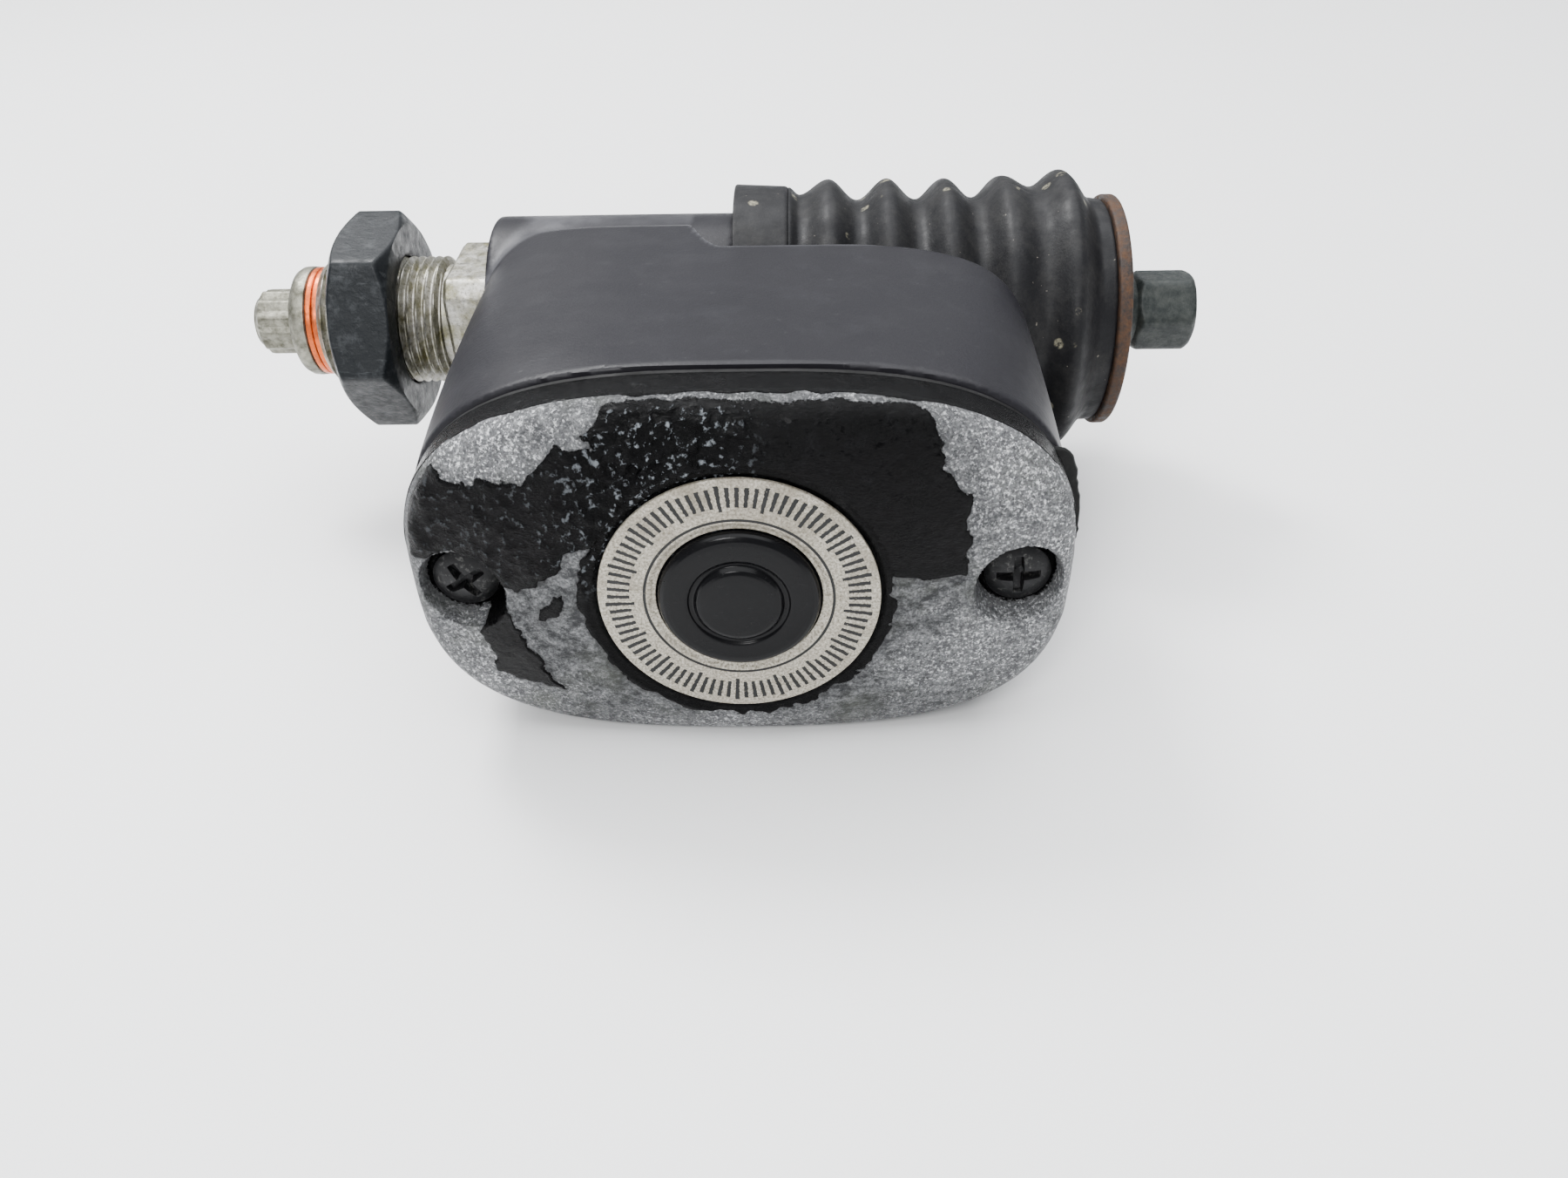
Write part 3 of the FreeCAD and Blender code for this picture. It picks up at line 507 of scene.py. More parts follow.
# Outlines of the patches, in millimetres from the middle of the cover.
PAINT_EDGES = [
    [(-13, 30), (-13.5, 23.5), (-14.5, 22), (-16.5, 20.5), (-15.5, 19.5), (-19, 19), (-22, 16.5),
     (-23.5, 15), (-27, 14.8), (-32, 14.3), (-33, 16.5), (-34.5, 17), (-45, 17), (-45, 4), (-36.5, 4),
     (-33, 6), (-27.2, 1), (-24.5, 1), (-22, 3), (-20.3, 4.3), (-20, 6), (-16.2, 7.7), (-12, 5),
     (12, 5), (17, 2.6), (20, 2.2), (26, 2.6), (26.2, 7), (25.5, 10), (26.5, 12.5), (24.8, 14.2),
     (23.2, 16.6), (21.8, 21), (20.6, 22.6), (20.5, 30)],
    [(-31, -4.5), (-31.2, -7), (-30.5, -9.2), (-30.6, -12), (-26.5, -13.7), (-22.4, -15.5), (-23.3, -12.5),
     (-25, -9), (-27, -5), (-27.8, -1.8), (-29, -2)],
    [(-24.2, -3.9), (-23.4, -1.8), (-21, 0.4), (-20, 0.3), (-20.6, -1.2), (-22.2, -2.6)],
]


def paint_left(u, v):
    """How far inside the painted patches a point of the cover is, in millimetres, below zero
    outside. Each outline gives the distance to its nearest side, signed by how many sides a line
    from the point crosses. Noise shifts the point first, which makes the edges ragged."""
    u = u + 0.55 * lumps(u, v, 1.7, 1) + 0.3 * lumps(u, v, 0.7, 2)
    v = v + 0.55 * lumps(u, v, 1.7, 3) + 0.3 * lumps(u, v, 0.7, 4)
    best = np.full(u.shape, -1e9)
    for outline in PAINT_EDGES:
        within = np.zeros(u.shape, bool)
        near = np.full(u.shape, 1e9)
        for (au, av), (bu, bv) in zip(outline, outline[1:] + outline[:1]):
            along_side = (u - au) * (bu - au) + (v - av) * (bv - av)
            t = np.clip(along_side / ((bu - au) ** 2 + (bv - av) ** 2), 0, 1)
            near = np.minimum(near, np.hypot(u - au - t * (bu - au), v - av - t * (bv - av)))
            if av != bv:
                within ^= ((av > v) != (bv > v)) & (u < (bu - au) * (v - av) / (bv - av) + au)
        best = np.maximum(best, np.where(within, near, -near))
    ring = np.hypot(u, v) - LABEL
    border = 1.1 + 1.0 * ease(-u - 0.5 * v, 4, 16) + 0.5 * ease(u - 0.6 * v, 8, 18)
    return np.maximum(best, border - ring)


print("paint at the middle of the top band", paint_left(np.array([0.0]), np.array([20.5])).round(2))

# %% The crowned cover
SIDE_TOP = LID_BACK + 3.9
SEAT = -corners("label_ring")[0][1] - 0.5
EDGE = 2.2
HOLE, SEAT_OUT = 9.2, 17.2
SCOOP_FLOOR = LID_BACK + 3.4


def lid():
    """Rings of the cover. Going out, the crown falls as s^1.55, where s runs from the label to the
    edge, less a quarter round of radius EDGE at the edge. Also given back: the angles, the distance
    to the edge, and how many rows there are before the side."""
    angle = circle(760)[None, :]
    reach = oval_out(angle, HALF_WIDE, HALF_TALL, OVAL)
    hole = np.array([HOLE, 12, 15, 16.5, 16.75, 17.0, SEAT_OUT])[:, None]
    lip = np.array([-0.15, -0.15, -0.15, -0.15, 0.0, 0.22, 0.3])[:, None]
    s = np.concatenate([np.linspace(0.01, 0.88, 78), 1 - 0.12 * np.linspace(0.97, 0, 18) ** 1.3])[:, None]
    crown_out = SEAT_OUT + s * (reach - SEAT_OUT)
    crown_depth = SEAT + 0.3 - (SEAT + 0.3 - SIDE_TOP - EDGE) * s ** 1.55
    round_off = np.clip((EDGE - (reach - crown_out)) / EDGE, 0, 1)
    crown_depth = crown_depth - EDGE * (1 - np.sqrt(np.maximum(1 - round_off ** 2, 0)))
    side = np.linspace(0, 1, 14)[1:, None]
    side_out = reach - 0.25 * ease(side, 0.9, 1.0)
    under_out = np.maximum(reach - np.array([1.0, 4.0, 20.0])[:, None], HOLE)
    out, depth = stacked(angle, (hole, SEAT + lip), (crown_out, crown_depth),
                         (side_out, SIDE_TOP + side * (LID_BACK - SIDE_TOP)),
                         (under_out, LID_BACK + 0 * under_out), [(HOLE, LID_BACK)])
    return angle, reach, out, depth, len(hole) + len(s)


angle, reach, out, depth, top_count = lid()
u, v = out * np.cos(angle), out * np.sin(angle)
top_rows = (np.arange(len(out)) < top_count)[:, None]
near_screw = np.hypot(np.abs(u) - SCREW_OUT, v)
scoop = SCOOP_FLOOR + 3.6 * ease(near_screw, 4.35, 5.5) + np.maximum(near_screw - 5.2, 0) * 6
depth = np.where(depth > SIDE_TOP - 0.4, smaller(depth, scoop, 0.5), depth)
print("cover rings", out.shape, "rows on top", top_count)

# %% [markdown]
# Three values are stored on each point for the paint shop: how far inside the paint it is, how
# strongly the paint is wrinkled there, and how pale the corrosion has bloomed. A thin bare line
# follows the edge at a steady height on its round. On the real part it is sure only along the top,
# and here it goes all the way round.

# %% Paint thickness, wrinkles and bloom
# Where pale corrosion has bloomed (above 0) and where the bare metal stays dull (below 0).
WEATHER = [(-27, 19, 0.5), (33, 17, 0.5), (36, 4, 0.3), (27, -9, 0.35), (-33, -12, 0.35), (-5, -21, 0.3),
           (-22, -3, -0.4), (21, 0, -0.3), (-14, -10, -0.35), (15, -15, -0.3), (-37, 0, -0.2)]
film = np.where(top_rows, paint_left(u, v), 2.0)
# Black paint fills each screw's scoop out to 4.7 mm. In the left scoop it is real paint; in the right scoop
# the dark floor is painted shade.
scoop_paint_and_shade = np.maximum(film * (u < 0) - (u > 0), 4.7 - near_screw)
film = np.where(top_rows & (near_screw < 5.6), scoop_paint_and_shade, film)
fallen = EDGE - np.sqrt(np.maximum(EDGE ** 2 - np.maximum(EDGE - (reach - out), 0) ** 2, 0))
line_at = 1.15 + 0.25 * lumps(angle * 14, 0 * angle, 1.0, 9)
bare_line = np.abs(fallen - line_at) - 0.32 - 0.2 * lumps(u, v, 2, 12)
film = np.where(top_rows, np.minimum(film, bare_line), film)
film = np.where(fallen > line_at + 0.3, np.maximum(film, fallen - line_at - 0.42), film)
thick = ease(film, -0.05, 0.25)
wrinkled = (0.35 + 0.65 * np.exp(-((u + 8) / 11) ** 2)) * ease(v, -2, 4) * (1 - 0.8 * ease(u, -1, 5))
wrinkled = wrinkled * (1 - ease(fallen, 0.3, 0.8)) * top_rows
ripple = lumps(u, v, 1.3, 5) * 0.6 + lumps(u, v, 0.75, 6) * 0.35 + lumps(u, v, 3.1, 7) * 0.4
lift = thick * (0.25 + 0.75 * wrinkled * np.maximum(ripple, -0.3) + 0.10 * lumps(u, v, 4.5, 8))
pits = -0.05 * ease(lumps(u, v, 0.9, 10) + 0.5 * lumps(u, v, 0.45, 11), 0.3, 1.0) * (1 - thick)
depth = depth + (lift + pits) * ease(out, 17.4, 18.2) * top_rows
weather = 0.45 + 0 * u
for bloom_u, bloom_v, strength in WEATHER:
    weather = weather + strength * np.exp(-((u - bloom_u) ** 2 + (v - bloom_v) ** 2) / 60)
cover = knit("cover_shell", around_y(CENTRE, out, depth, angle),
             values={"paint": film, "wrinkle": wrinkled, "weather": weather})
fit(cover, "cylinder_body", "worn_painted_cover", "reservoir_cover")
print("painted share of the top", round(float((film > 0)[top_rows[:, 0]].mean()), 2))

# %% [markdown]
# The paint is nearly black, and its glossy wrinkles glint. Soft even light gives no glints, so the
# crests carry a paler colour in their place, which does not move with the light. The bare metal is
# corroded: pale blooms, dark stains and a salt-and-pepper speckle, laid over each other at
# different sizes. The `paint` value decides where the metal shows.

# %% Flaked paint over corroded aluminium
flaked = Finish("flaked_wrinkle_paint", (0.3, 0.3, 0.3), 0.5, specular=0.08)
ragged = flaked.plus(flaked.field("paint"), flaked.patches((0.5, 4, 0.7), 0.25, 0.75, -0.16, 0.16))
painted = flaked.range(ragged, -0.03, 0.05)
bloomed = flaked.plus(flaked.field("weather"), flaked.patches((7, 6, 0.65), 0.3, 0.7, -0.3, 0.3))
cloud = flaked.range(bloomed, 0.2, 0.95)
streak = flaked.patches((1.3, 7, 0.8, 0.002, (0.7, 1, 1)), 0.42, 0.58)
fleck = flaked.patches((0.5, 5, 0.8, 0.005), 0.53, 0.58)
fine = flaked.patches((0.3, 3, 0.6, 0.008), 0.35, 0.65)
flaked.set("Base Color", flaked.mix(cloud, (0.028, 0.029, 0.03), (0.15, 0.153, 0.158)))
flaked.over(flaked.times(streak, 0.7), (0.27, 0.275, 0.28))
flaked.over(flaked.times(fleck, cloud), (0.90, 0.91, 0.92))
flaked.over(flaked.range(fine, 0, 1, 0.75, 0.0), (0.03, 0.03, 0.032))
flaked.over(flaked.patches((9, 4, 0.6, 11), 0.52, 0.75, 0.0, 0.55), (0.075, 0.08, 0.065))
shaded = flaked.range(flaked.field("paint"), -0.9, -0.05, 0.0, 0.5)
flaked.over(flaked.times(shaded, streak), (0.03, 0.03, 0.03))

# %% The paint's colour, its painted glints, gloss and lumps
wrinkle = flaked.field("wrinkle")
lump = flaked.noise(0.9, 4, 0.6, 6)
mottled = flaked.patches((1.4, 4, 0.6, 7), 0.5, 0.85)
black = flaked.mix(mottled, (0.0004, 0.0004, 0.0005), (0.004, 0.004, 0.0045))
# Painted highlight: a paler colour on the wrinkles' crests, in place of real glints.
painted_glints = flaked.times(flaked.range(lump, 0.57, 0.68), flaked.calc("POWER", wrinkle, 2.0))
flaked.over(painted, flaked.mix(painted_glints, black, (0.22, 0.24, 0.26)))
gloss = flaked.patches((6, 3, 0.6, 4), 0.35, 0.65, 0.12, 0.30)
flaked.set("Roughness", flaked.add("ShaderNodeMix", {0: painted, 2: 0.5, 3: gloss}).outputs[0])
flaked.set("Metallic", flaked.times(flaked.minus(1.0, painted), 0.3))
flaked.bump((fine, 0.02), (streak, 0.05), (flaked.times(flaked.times(painted, wrinkle), lump), 0.9),
            (flaked.times(painted, flaked.noise(2.4, 4, 0.55, 9)), 0.25))
wear(cover, flaked)

# %% [markdown]
# ## The diaphragm between cover and casting
# A thin rubber diaphragm seals the lid. Only its rim shows, as a black line round the cover, with
# a ragged bit pushed out at the pushrod end. Its pan hangs inside the pot. One closed set of oval
# rings makes both: out along the rim, back underneath, down the pan and up its inside.

# %% Rubber diaphragm
def diaphragm():
    angle = circle(420)[None, :]
    edge = oval_out(angle, HALF_WIDE, HALF_TALL, OVAL)
    across, up = np.cos(angle), np.sin(angle)
    frayed = ease(across, 0.8, 0.86) * ease(up, -0.01, 0.03) * ease(-up, -0.36, -0.33)
    proud = -0.14 + 1.5 * frayed + 0.25 * lumps(angle * 60, 0 * angle, 1.0, 21) * (0.1 + frayed)
    lip = edge + proud
    pan = oval_out(angle, 27.0, HALF_TALL - 5, OVAL)
    top, stem = LID_BACK, 7.0
    rows = [(stem, RIM - 7.0), (pan - 2.2, RIM - 7.0), (pan - 1.2, RIM - 6.0), (pan - 1.0, top - 0.9),
            (pan + 0.5, top - 0.02), (edge - 1, top - 0.02), (lip - 0.15, top - 0.05), (lip, top - 0.3),
            (lip, RIM + 0.3), (lip - 0.15, RIM + 0.05), (edge - 1, RIM + 0.02), (pan + 0.4, RIM),
            (pan, RIM - 1), (pan - 1, RIM - 7.9), (stem, RIM - 8.0)]
    out = np.vstack([np.broadcast_to(row, angle.shape) for row, _ in rows])
    depth = np.array([row for _, row in rows])[:, None]
    return knit("diaphragm_rim_and_pan", around_y(CENTRE, out, depth, angle))


seal = fit(diaphragm(), "cylinder_body", "black_rubber", "cover_diaphragm")

# %% [markdown]
# ## Black rubber
# Old rubber is never quite black. It is dull, has a faint bloom and collects dust, which settles
# in specks and smears. The same finish serves the small seals inside.

# %% Rubber for seals
rubber = two_tone("seal_rubber", (0.004, 0.004, 0.004), (0.02, 0.02, 0.02), ((2.0, 5, 0.7), 0.5, 0.8),
                  ((4, 3), 0.55, 0.8), ((0.4, 3), 0.03), specular=0.2)
wear(seal, rubber)
for name in ("sight_glass_o_ring", "cartridge_o_ring_front", "cartridge_o_ring_rear", "primary_cup",
             "secondary_seal"):
    wear(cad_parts[name], rubber)

# %% [markdown]
# ## The label ring
# A thin etched ring surrounds the sight glass. On the real part it carries printed words, and
# here plain graduation marks take their place. The ring is a turned washer with a rolled edge and a
# small inner chamfer. The marks are a pattern in the ring's own polar coordinates: the angle
# counts the marks and the radius ends them.

# %% Ring
LABEL_TOP = SEAT + 0.5
GLASS = 9.5
INSIDE = GLASS + 0.2
ring_line = rounded([(INSIDE, SEAT), (LABEL, SEAT), (LABEL, LABEL_TOP), (10.6, LABEL_TOP),
                     (10.1, LABEL_TOP - 0.28), (INSIDE, LABEL_TOP - 0.3)], 0.12)
ring = knit("label_ring_etched", around_y(CENTRE, ring_line[:, :1], ring_line[:, 1:], circle(240)[None, :]))
fit(ring, "cylinder_body", "etched_label", "label_ring")

# %% Etched label with graduation marks
MARKS, LONG_EVERY = 85, 5.0
SHORT_MARK, LONG_MARK = (12.7, 15.3), (12.2, 15.6)
LINE_AT, LINE_HALF = 11.0, 0.17
etched = Finish("etched_label", (0.6, 0.56, 0.48), 0.45, specular=0.3)
centre = (-CENTRE[0] * MM, 0.0, -CENTRE[1] * MM)
centred = etched.add("ShaderNodeVectorMath", {0: etched.place, 1: centre}, operation="ADD").outputs[0]
split = etched.add("ShaderNodeSeparateXYZ", {0: centred}).outputs
flat = etched.add("ShaderNodeCombineXYZ", {0: split[0], 1: split[2]}).outputs[0]
radius = etched.add("ShaderNodeVectorMath", {0: flat}, operation="LENGTH").outputs["Value"]
radius = etched.times(radius, 1000.0)
bearing = etched.plus(etched.calc("ARCTAN2", split[2], split[0]), math.pi)
count = etched.times(bearing, MARKS / TURN)
off_middle = etched.calc("ABSOLUTE", etched.minus(etched.calc("FRACT", count), 0.5))
wobble = etched.patches((0.3, 3, 0.6), 0.3, 0.7, -0.06, 0.06)
bar = etched.calc("LESS_THAN", etched.plus(off_middle, wobble), 0.23)
longer = etched.calc("LESS_THAN", etched.calc("MODULO", etched.calc("FLOOR", count), LONG_EVERY), 0.5)
starts, ends = (etched.range(longer, 0, 1, short, long) for short, long in zip(SHORT_MARK, LONG_MARK))
inked = etched.times(bar, etched.calc("GREATER_THAN", radius, starts))
inked = etched.times(inked, etched.calc("LESS_THAN", radius, ends))
line = etched.calc("LESS_THAN", etched.calc("ABSOLUTE", etched.minus(radius, LINE_AT)), LINE_HALF)
inked = etched.calc("MAXIMUM", inked, line)
inked = etched.times(inked, etched.patches((0.8, 4, 0.7, 3), 0.26, 0.34))

# %% The label's metal
speckle = etched.patches((0.3, 4, 0.7, 1), 0.35, 0.65)
etched.set("Base Color", etched.mix(speckle, (0.13, 0.115, 0.085), (0.52, 0.485, 0.41)))
# Brown patches, denser and darker towards the top of the ring.
brown_towards_top = etched.plus(etched.noise(4, 5, 0.7, 6), etched.range(split[2], -0.015, 0.016, -0.1, 0.12))
etched.over(etched.range(brown_towards_top, 0.5, 0.75, 0, 0.7), (0.15, 0.13, 0.095))
etched.over(inked, (0.004, 0.004, 0.004))
etched.set("Roughness", etched.patches((1.5, 4), 0.3, 0.7, 0.35, 0.6))
etched.set("Metallic", etched.times(etched.minus(1.0, inked), 0.35))
etched.bump(((0.25, 3), 0.02))
wear(ring, etched)

# %% [markdown]
# ## The sight glass
# Through this smoked window the rider sees if fluid is left. It is a moulded plug: a soft-edged
# disc with a raised lens in a shallow groove, on a stem that dips through the diaphragm. A
# turned line with rounded corners gives it, closed at both poles.

# %% Smoked plug
GLASS_TOP = LABEL_TOP + 1.0
# Distance from the middle, and height above the flat of the plug.
LENS = [(0.3, 0.62), (2.0, 0.60), (3.6, 0.50), (4.4, 0.40), (4.85, 0.22), (5.1, -0.1), (5.25, -0.32),
        (5.5, -0.42), (5.8, -0.34), (6.0, -0.1), (6.25, -0.01), (7.0, 0), (8.1, -0.05), (8.7, -0.18),
        (9.15, -0.45), (9.4, -0.85), (GLASS, -1.3)]
STEM = [(GLASS, SEAT + 0.05), (6.9, SEAT - 0.1), (6.9, SEAT - 14), (3.5, SEAT - 17), (0.3, SEAT - 19)]
plug_line = np.array([(out, GLASS_TOP + height) for out, height in LENS] + STEM)
steps = np.linspace(0, len(plug_line) - 1, 90)
plug_line = np.stack([np.interp(steps, np.arange(len(plug_line)), plug_line[:, k]) for k in (0, 1)], -1)
plug = around_y(CENTRE, plug_line[:, :1], plug_line[:, 1:], circle(160)[None, :])
glass = knit("sight_glass_plug", plug, close_rows=False)
fit(glass, "cylinder_body", "smoked_glass", "sight_glass")

# %% Glossy smoked plastic
smoked = two_tone("smoked_plastic", (0.0025, 0.0025, 0.003), (0.06, 0.06, 0.06),
                  ((1.1, 5, 0.75, 2, (1, 1, 3)), 0.64, 0.72, 0, 0.25), ((3, 4, 0.7), 0.14, 0.3),
                  ((5, 2), 0.04), ((0.5, 3, 0.6), 0.004), specular=0.13)
wear(glass, smoked)

# %% [markdown]
# ## Cover screws
# Two black pan-head screws with cross recesses hold the lid. A polar grid carries the domed head:
# its height is the dome less the recess, and the recess is the deeper of two crossed slots that get
# shallower outwards. One screw stopped a third of a quarter turn on, the other almost upright.

# %% Screws
HEAD, SHANK = 3.9, 2.0
HEAD_TOP = SCOOP_FLOOR + 2.5


def screw(name, side, degrees):
    """Rings from the middle of the head outwards, down its rim, in under it and along the shank."""
    angle = circle(300)[None, :]
    grow = np.linspace(0.012, 1, 64)[:, None]
    dome = HEAD_TOP - 0.95 * grow ** 2.6
    turn = math.radians(degrees)
    a = np.abs(HEAD * grow * np.cos(angle - turn))
    b = np.abs(HEAD * grow * np.sin(angle - turn))
    long_way, across = np.maximum(a, b), np.minimum(a, b)
    half_slot = 0.62 - 0.06 * long_way
    inside_slot = ease(half_slot - across, -0.06, 0.09) * ease(2.65 - long_way, 0, 0.35)
    deep = inside_slot * (1.75 - 0.42 * long_way)
    rim = [(HEAD, HEAD_TOP - 1.15), (HEAD, SCOOP_FLOOR + 0.2), (HEAD - 0.15, SCOOP_FLOOR + 0.02),
           (SHANK, SCOOP_FLOOR), (SHANK, SCOOP_FLOOR - 11.6), (SHANK - 0.6, SCOOP_FLOOR - 12)]
    out, depth = stacked(angle, (HEAD * grow, dome - deep), rim)
    middle = (CENTRE[0] + side * SCREW_OUT, CENTRE[1])
    return knit(name, around_y(middle, out, depth, angle), close_rows=False)


worn_black = two_tone("worn_black_screw", (0.005, 0.005, 0.0055), (0.085, 0.085, 0.08),
                      ((0.9, 5, 0.75), 0.56, 0.72), ((0.6, 4), 0.28, 0.6), ((0.5, 4, 0.65), 0.06),
                      metallic=0.3, specular=0.3)
for name, side, degrees in (("cover_screw_left", -1, 32), ("cover_screw_right", 1, 3)):
    wear(fit(screw(name, side, degrees), "cylinder_body", "black_screw", "cover_screws"), worn_black)

# %% [markdown]
# ## The steel cylinder
# The working cylinder is one turned steel piece: a threaded shank, a relief groove, a square boss
# that stops it turning in the frame, then the plain barrel inside the casting and a flange for
# the boot. The outside is a radius that depends on both the place along the bore and the angle: a
# helix of V grooves on the shank, four flats on the boss. The bore is the same grid turned back inside.

# %% Threaded cylinder
SHANK_END, FACE, PITCH = corners("cartridge_body")[0][0], 8.2, 1.3
THREAD_OUT, THREAD_DEEP, RELIEF = 9.525, 0.78, 8.3
BORE = 7.9375


def cylinder():
    angle = circle(240)[None, :]
    along = np.concatenate([np.arange(SHANK_END, 0, 0.11), [0, 0.15, 0.5, 1.0, 1.15],
                            np.linspace(1.2, 1.9, 5), np.linspace(2.1, FACE, 10),
                            [FACE + 0.01, 44.19]])[:, None]
    turns = (along / PITCH - angle / TURN) % 1
    groove = np.clip(1.35 * np.abs(2 * turns - 1) - 0.12, 0, 1)
    cut = ease(along, SHANK_END + 0.3, SHANK_END + 1.2)
    tip = 0.9 * (1 - ease(along, SHANK_END, SHANK_END + 0.9))
    shank = THREAD_OUT - THREAD_DEEP * groove * cut - tip
    square = smaller(flats(angle, 9.5 * math.sqrt(2), 4, 45), 12.0 + 0 * angle, 0.35)
    boss = square - 0.5 * (1 - ease(along, 1.2, 1.8))
    barrel = np.where(along < FACE + 0.005, boss, 12.15)
    out = np.where(along < -0.05, shank, np.where(along < 1.19, RELIEF, barrel))
    tail = [(44.2, 12.2), (44.22, 16.4), (44.5, 16.6), (46.3, 16.6), (46.3, 15.1), (49.1, 15.1),
            (49.1, 16.6), (51.0, 16.6), (51.2, 16.4), (51.2, 9.04), (46.5, 9.04), (46.5, BORE),
            (3.2, BORE), (3.2, 1.6), (-1.3, 1.6), (-1.3, 4.3), (SHANK_END, 4.3)]
    return knit("threaded_cylinder", around_x(*stacked(angle, (along, out), tail), angle))


steel_cylinder = fit(cylinder(), "cylinder_body", "plated_steel", "cartridge_body")

# %% [markdown]
# The shank's plating has worn to bare steel with yellow stains, and the boss is rough and spotted.

# %% Stained plating
plated = two_tone("stained_plating", (0.40, 0.39, 0.36), (0.15, 0.14, 0.075), ((2.6, 5, 0.7), 0.38, 0.68),
                  ((1.2, 4, 0.55, 2), 0.30, 0.58), ((0.6, 5, 0.7, 3), 0.09), metallic=0.95)
plated.over(plated.patches((0.5, 4, 0.7, 4), 0.5, 0.72, 0, 0.75), (0.04, 0.038, 0.03))
wear(steel_cylinder, plated)

# %% [markdown]
# ## The mounting nut
# A large hexagon nut pulls the shank tight in the frame. It is black, with both ends chamfered: each
# flat ends in an arc, because a cone cuts the corners. So its outside is the smaller of two
# numbers, the hexagon and the cone, with a soft join for the rolled edge that a used nut has.

# %% Nut
nut_low, nut_high = corners("mounting_nut")
NUT_CORNER = 28.58 / 2 / math.cos(math.radians(30))
NUT_TURN = 24.0


def nut():
    angle = circle(384)[None, :]
    start, end = nut_low[0], nut_high[0]
    share = np.concatenate([np.linspace(0, 0.3, 18), np.linspace(0.34, 0.68, 6), np.linspace(0.72, 1, 18)])
    along = start + share[:, None] * (end - start)
    hexagon = smaller(flats(angle, NUT_CORNER, 6, NUT_TURN), NUT_CORNER - 0.15 + 0 * angle, 0.35)
    cone = NUT_CORNER + np.minimum(1.75 * (along - start) - 2.2, 1.5 * (end - along) - 2.2)
    out = smaller(hexagon + 0 * along, cone + 0 * angle, 0.5)
    faces = [(end, 10.6), (end - 0.1, 10.1), (end - 0.6, 9.65), (start + 0.6, 9.65), (start + 0.1, 10.1),
             (start, 10.6)]
    return knit("hex_nut", around_x(*stacked(angle, (along, out), faces), angle))


big_nut = fit(nut(), "cylinder_body", "black_oxide_steel", "mounting_nut")

# %% Black oxide with scuffs
oxide = Finish("black_oxide", (0.03, 0.034, 0.038), 0.38, 0.15, specular=0.22)
rub = oxide.patches((3.2, 6, 0.75), 0.52, 0.74, 0, 0.45)
scratch = oxide.patches((1.1, 5, 0.7, 6, (0.15, 1, 1)), 0.62, 0.72, 0, 0.5)
worn = oxide.calc("MAXIMUM", rub, scratch)
oxide.set("Base Color", oxide.mix(worn, (0.006, 0.0075, 0.009), (0.075, 0.08, 0.085)))
oxide.set("Roughness", oxide.patches((1.5, 5, 0.7, 2), 0.3, 0.7, 0.28, 0.58))
oxide.bump(((0.8, 5, 0.65), 0.07), ((4, 3), 0.10))
wear(big_nut, oxide)

# %% [markdown]
# ## Banjo bolt and copper washers
# The bolt closes the outlet, with a soft copper washer on each side of where the banjo fitting
# would be. Its head has twelve points, which is two hexagons turned 30 degrees apart: the outside
# is the larger of the two. The flange below it is turned with a rolled edge.

# %% Bolt
bolt_low = corners("banjo_bolt")[0]
bolt_seat = corners("sealing_washers")[0][0]
FLANGE = 2.9


def bolt():
    angle = circle(360)[None, :]
    end = bolt_low[0]
    head = end + np.array([0, 0.05, 0.25, 0.6, 1.0, 1.6, 3.0, 5.0, 6.0, 6.3, 0])[:, None]
    head[-1] = bolt_seat - FLANGE
    star = np.maximum(flats(angle, 5.05, 6), flats(angle, 5.05, 6, 30))
    star = smaller(star, 4.95 + 0 * angle, 0.12)
    cone = 3.7 + 1.35 * ease(head, end, end + 1.3)
    out = smaller(star + 0 * head, cone + 0 * angle, 0.2)
    out[-1] = out[-1] + 0.35
    rim = [(-2.92, 6.4), (-2.8, 7.1), (-2.4, 7.8), (-1.7, 8.2), (-0.9, 8.25), (-0.2, 8.2), (0, 7.9),
           (0, 4.28)]
    tail = [(bolt_seat + at, radius) for at, radius in rim] + [(-3.5, 4.28), (-2.5, 3.5)]
    dimple = [(end + 0.9, 0.4), (end + 0.75, 1.6), (end + 0.3, 2.4), (end, 2.8)]
    grid = around_x(*stacked(angle, dimple, (head, out), tail), angle)
    return knit("twelve_point_bolt", grid, close_rows=False)


zinc = two_tone("olive_zinc", (0.26, 0.255, 0.21), (0.06, 0.058, 0.04), ((1.8, 5, 0.7), 0.35, 0.68),
                ((0.8, 4, 0.55, 2), 0.32, 0.6), ((0.4, 4, 0.7), 0.05), metallic=0.75)
wear(fit(bolt(), "cylinder_body", "zinc_steel", "banjo_bolt"), zinc)

# %% Washers
copper = two_tone("soft_copper", (0.60, 0.12, 0.03), (0.20, 0.05, 0.02), ((1.5, 4, 0.7), 0.45, 0.75),
                  ((0.8, 3), 0.25, 0.5), ((0.35, 3), 0.03), metallic=0.9)
THICK = (SHANK_END - bolt_seat) / 2
for name, start in (("copper_washer_outer", bolt_seat), ("copper_washer_inner", bolt_seat + THICK)):
    line = rounded([(start, 4.8), (start, 8.15), (start + THICK, 8.15), (start + THICK, 4.8)], 0.3)
    wear(fit(turned(name, line, 160), "cylinder_body", "copper", "sealing_washers"), copper)
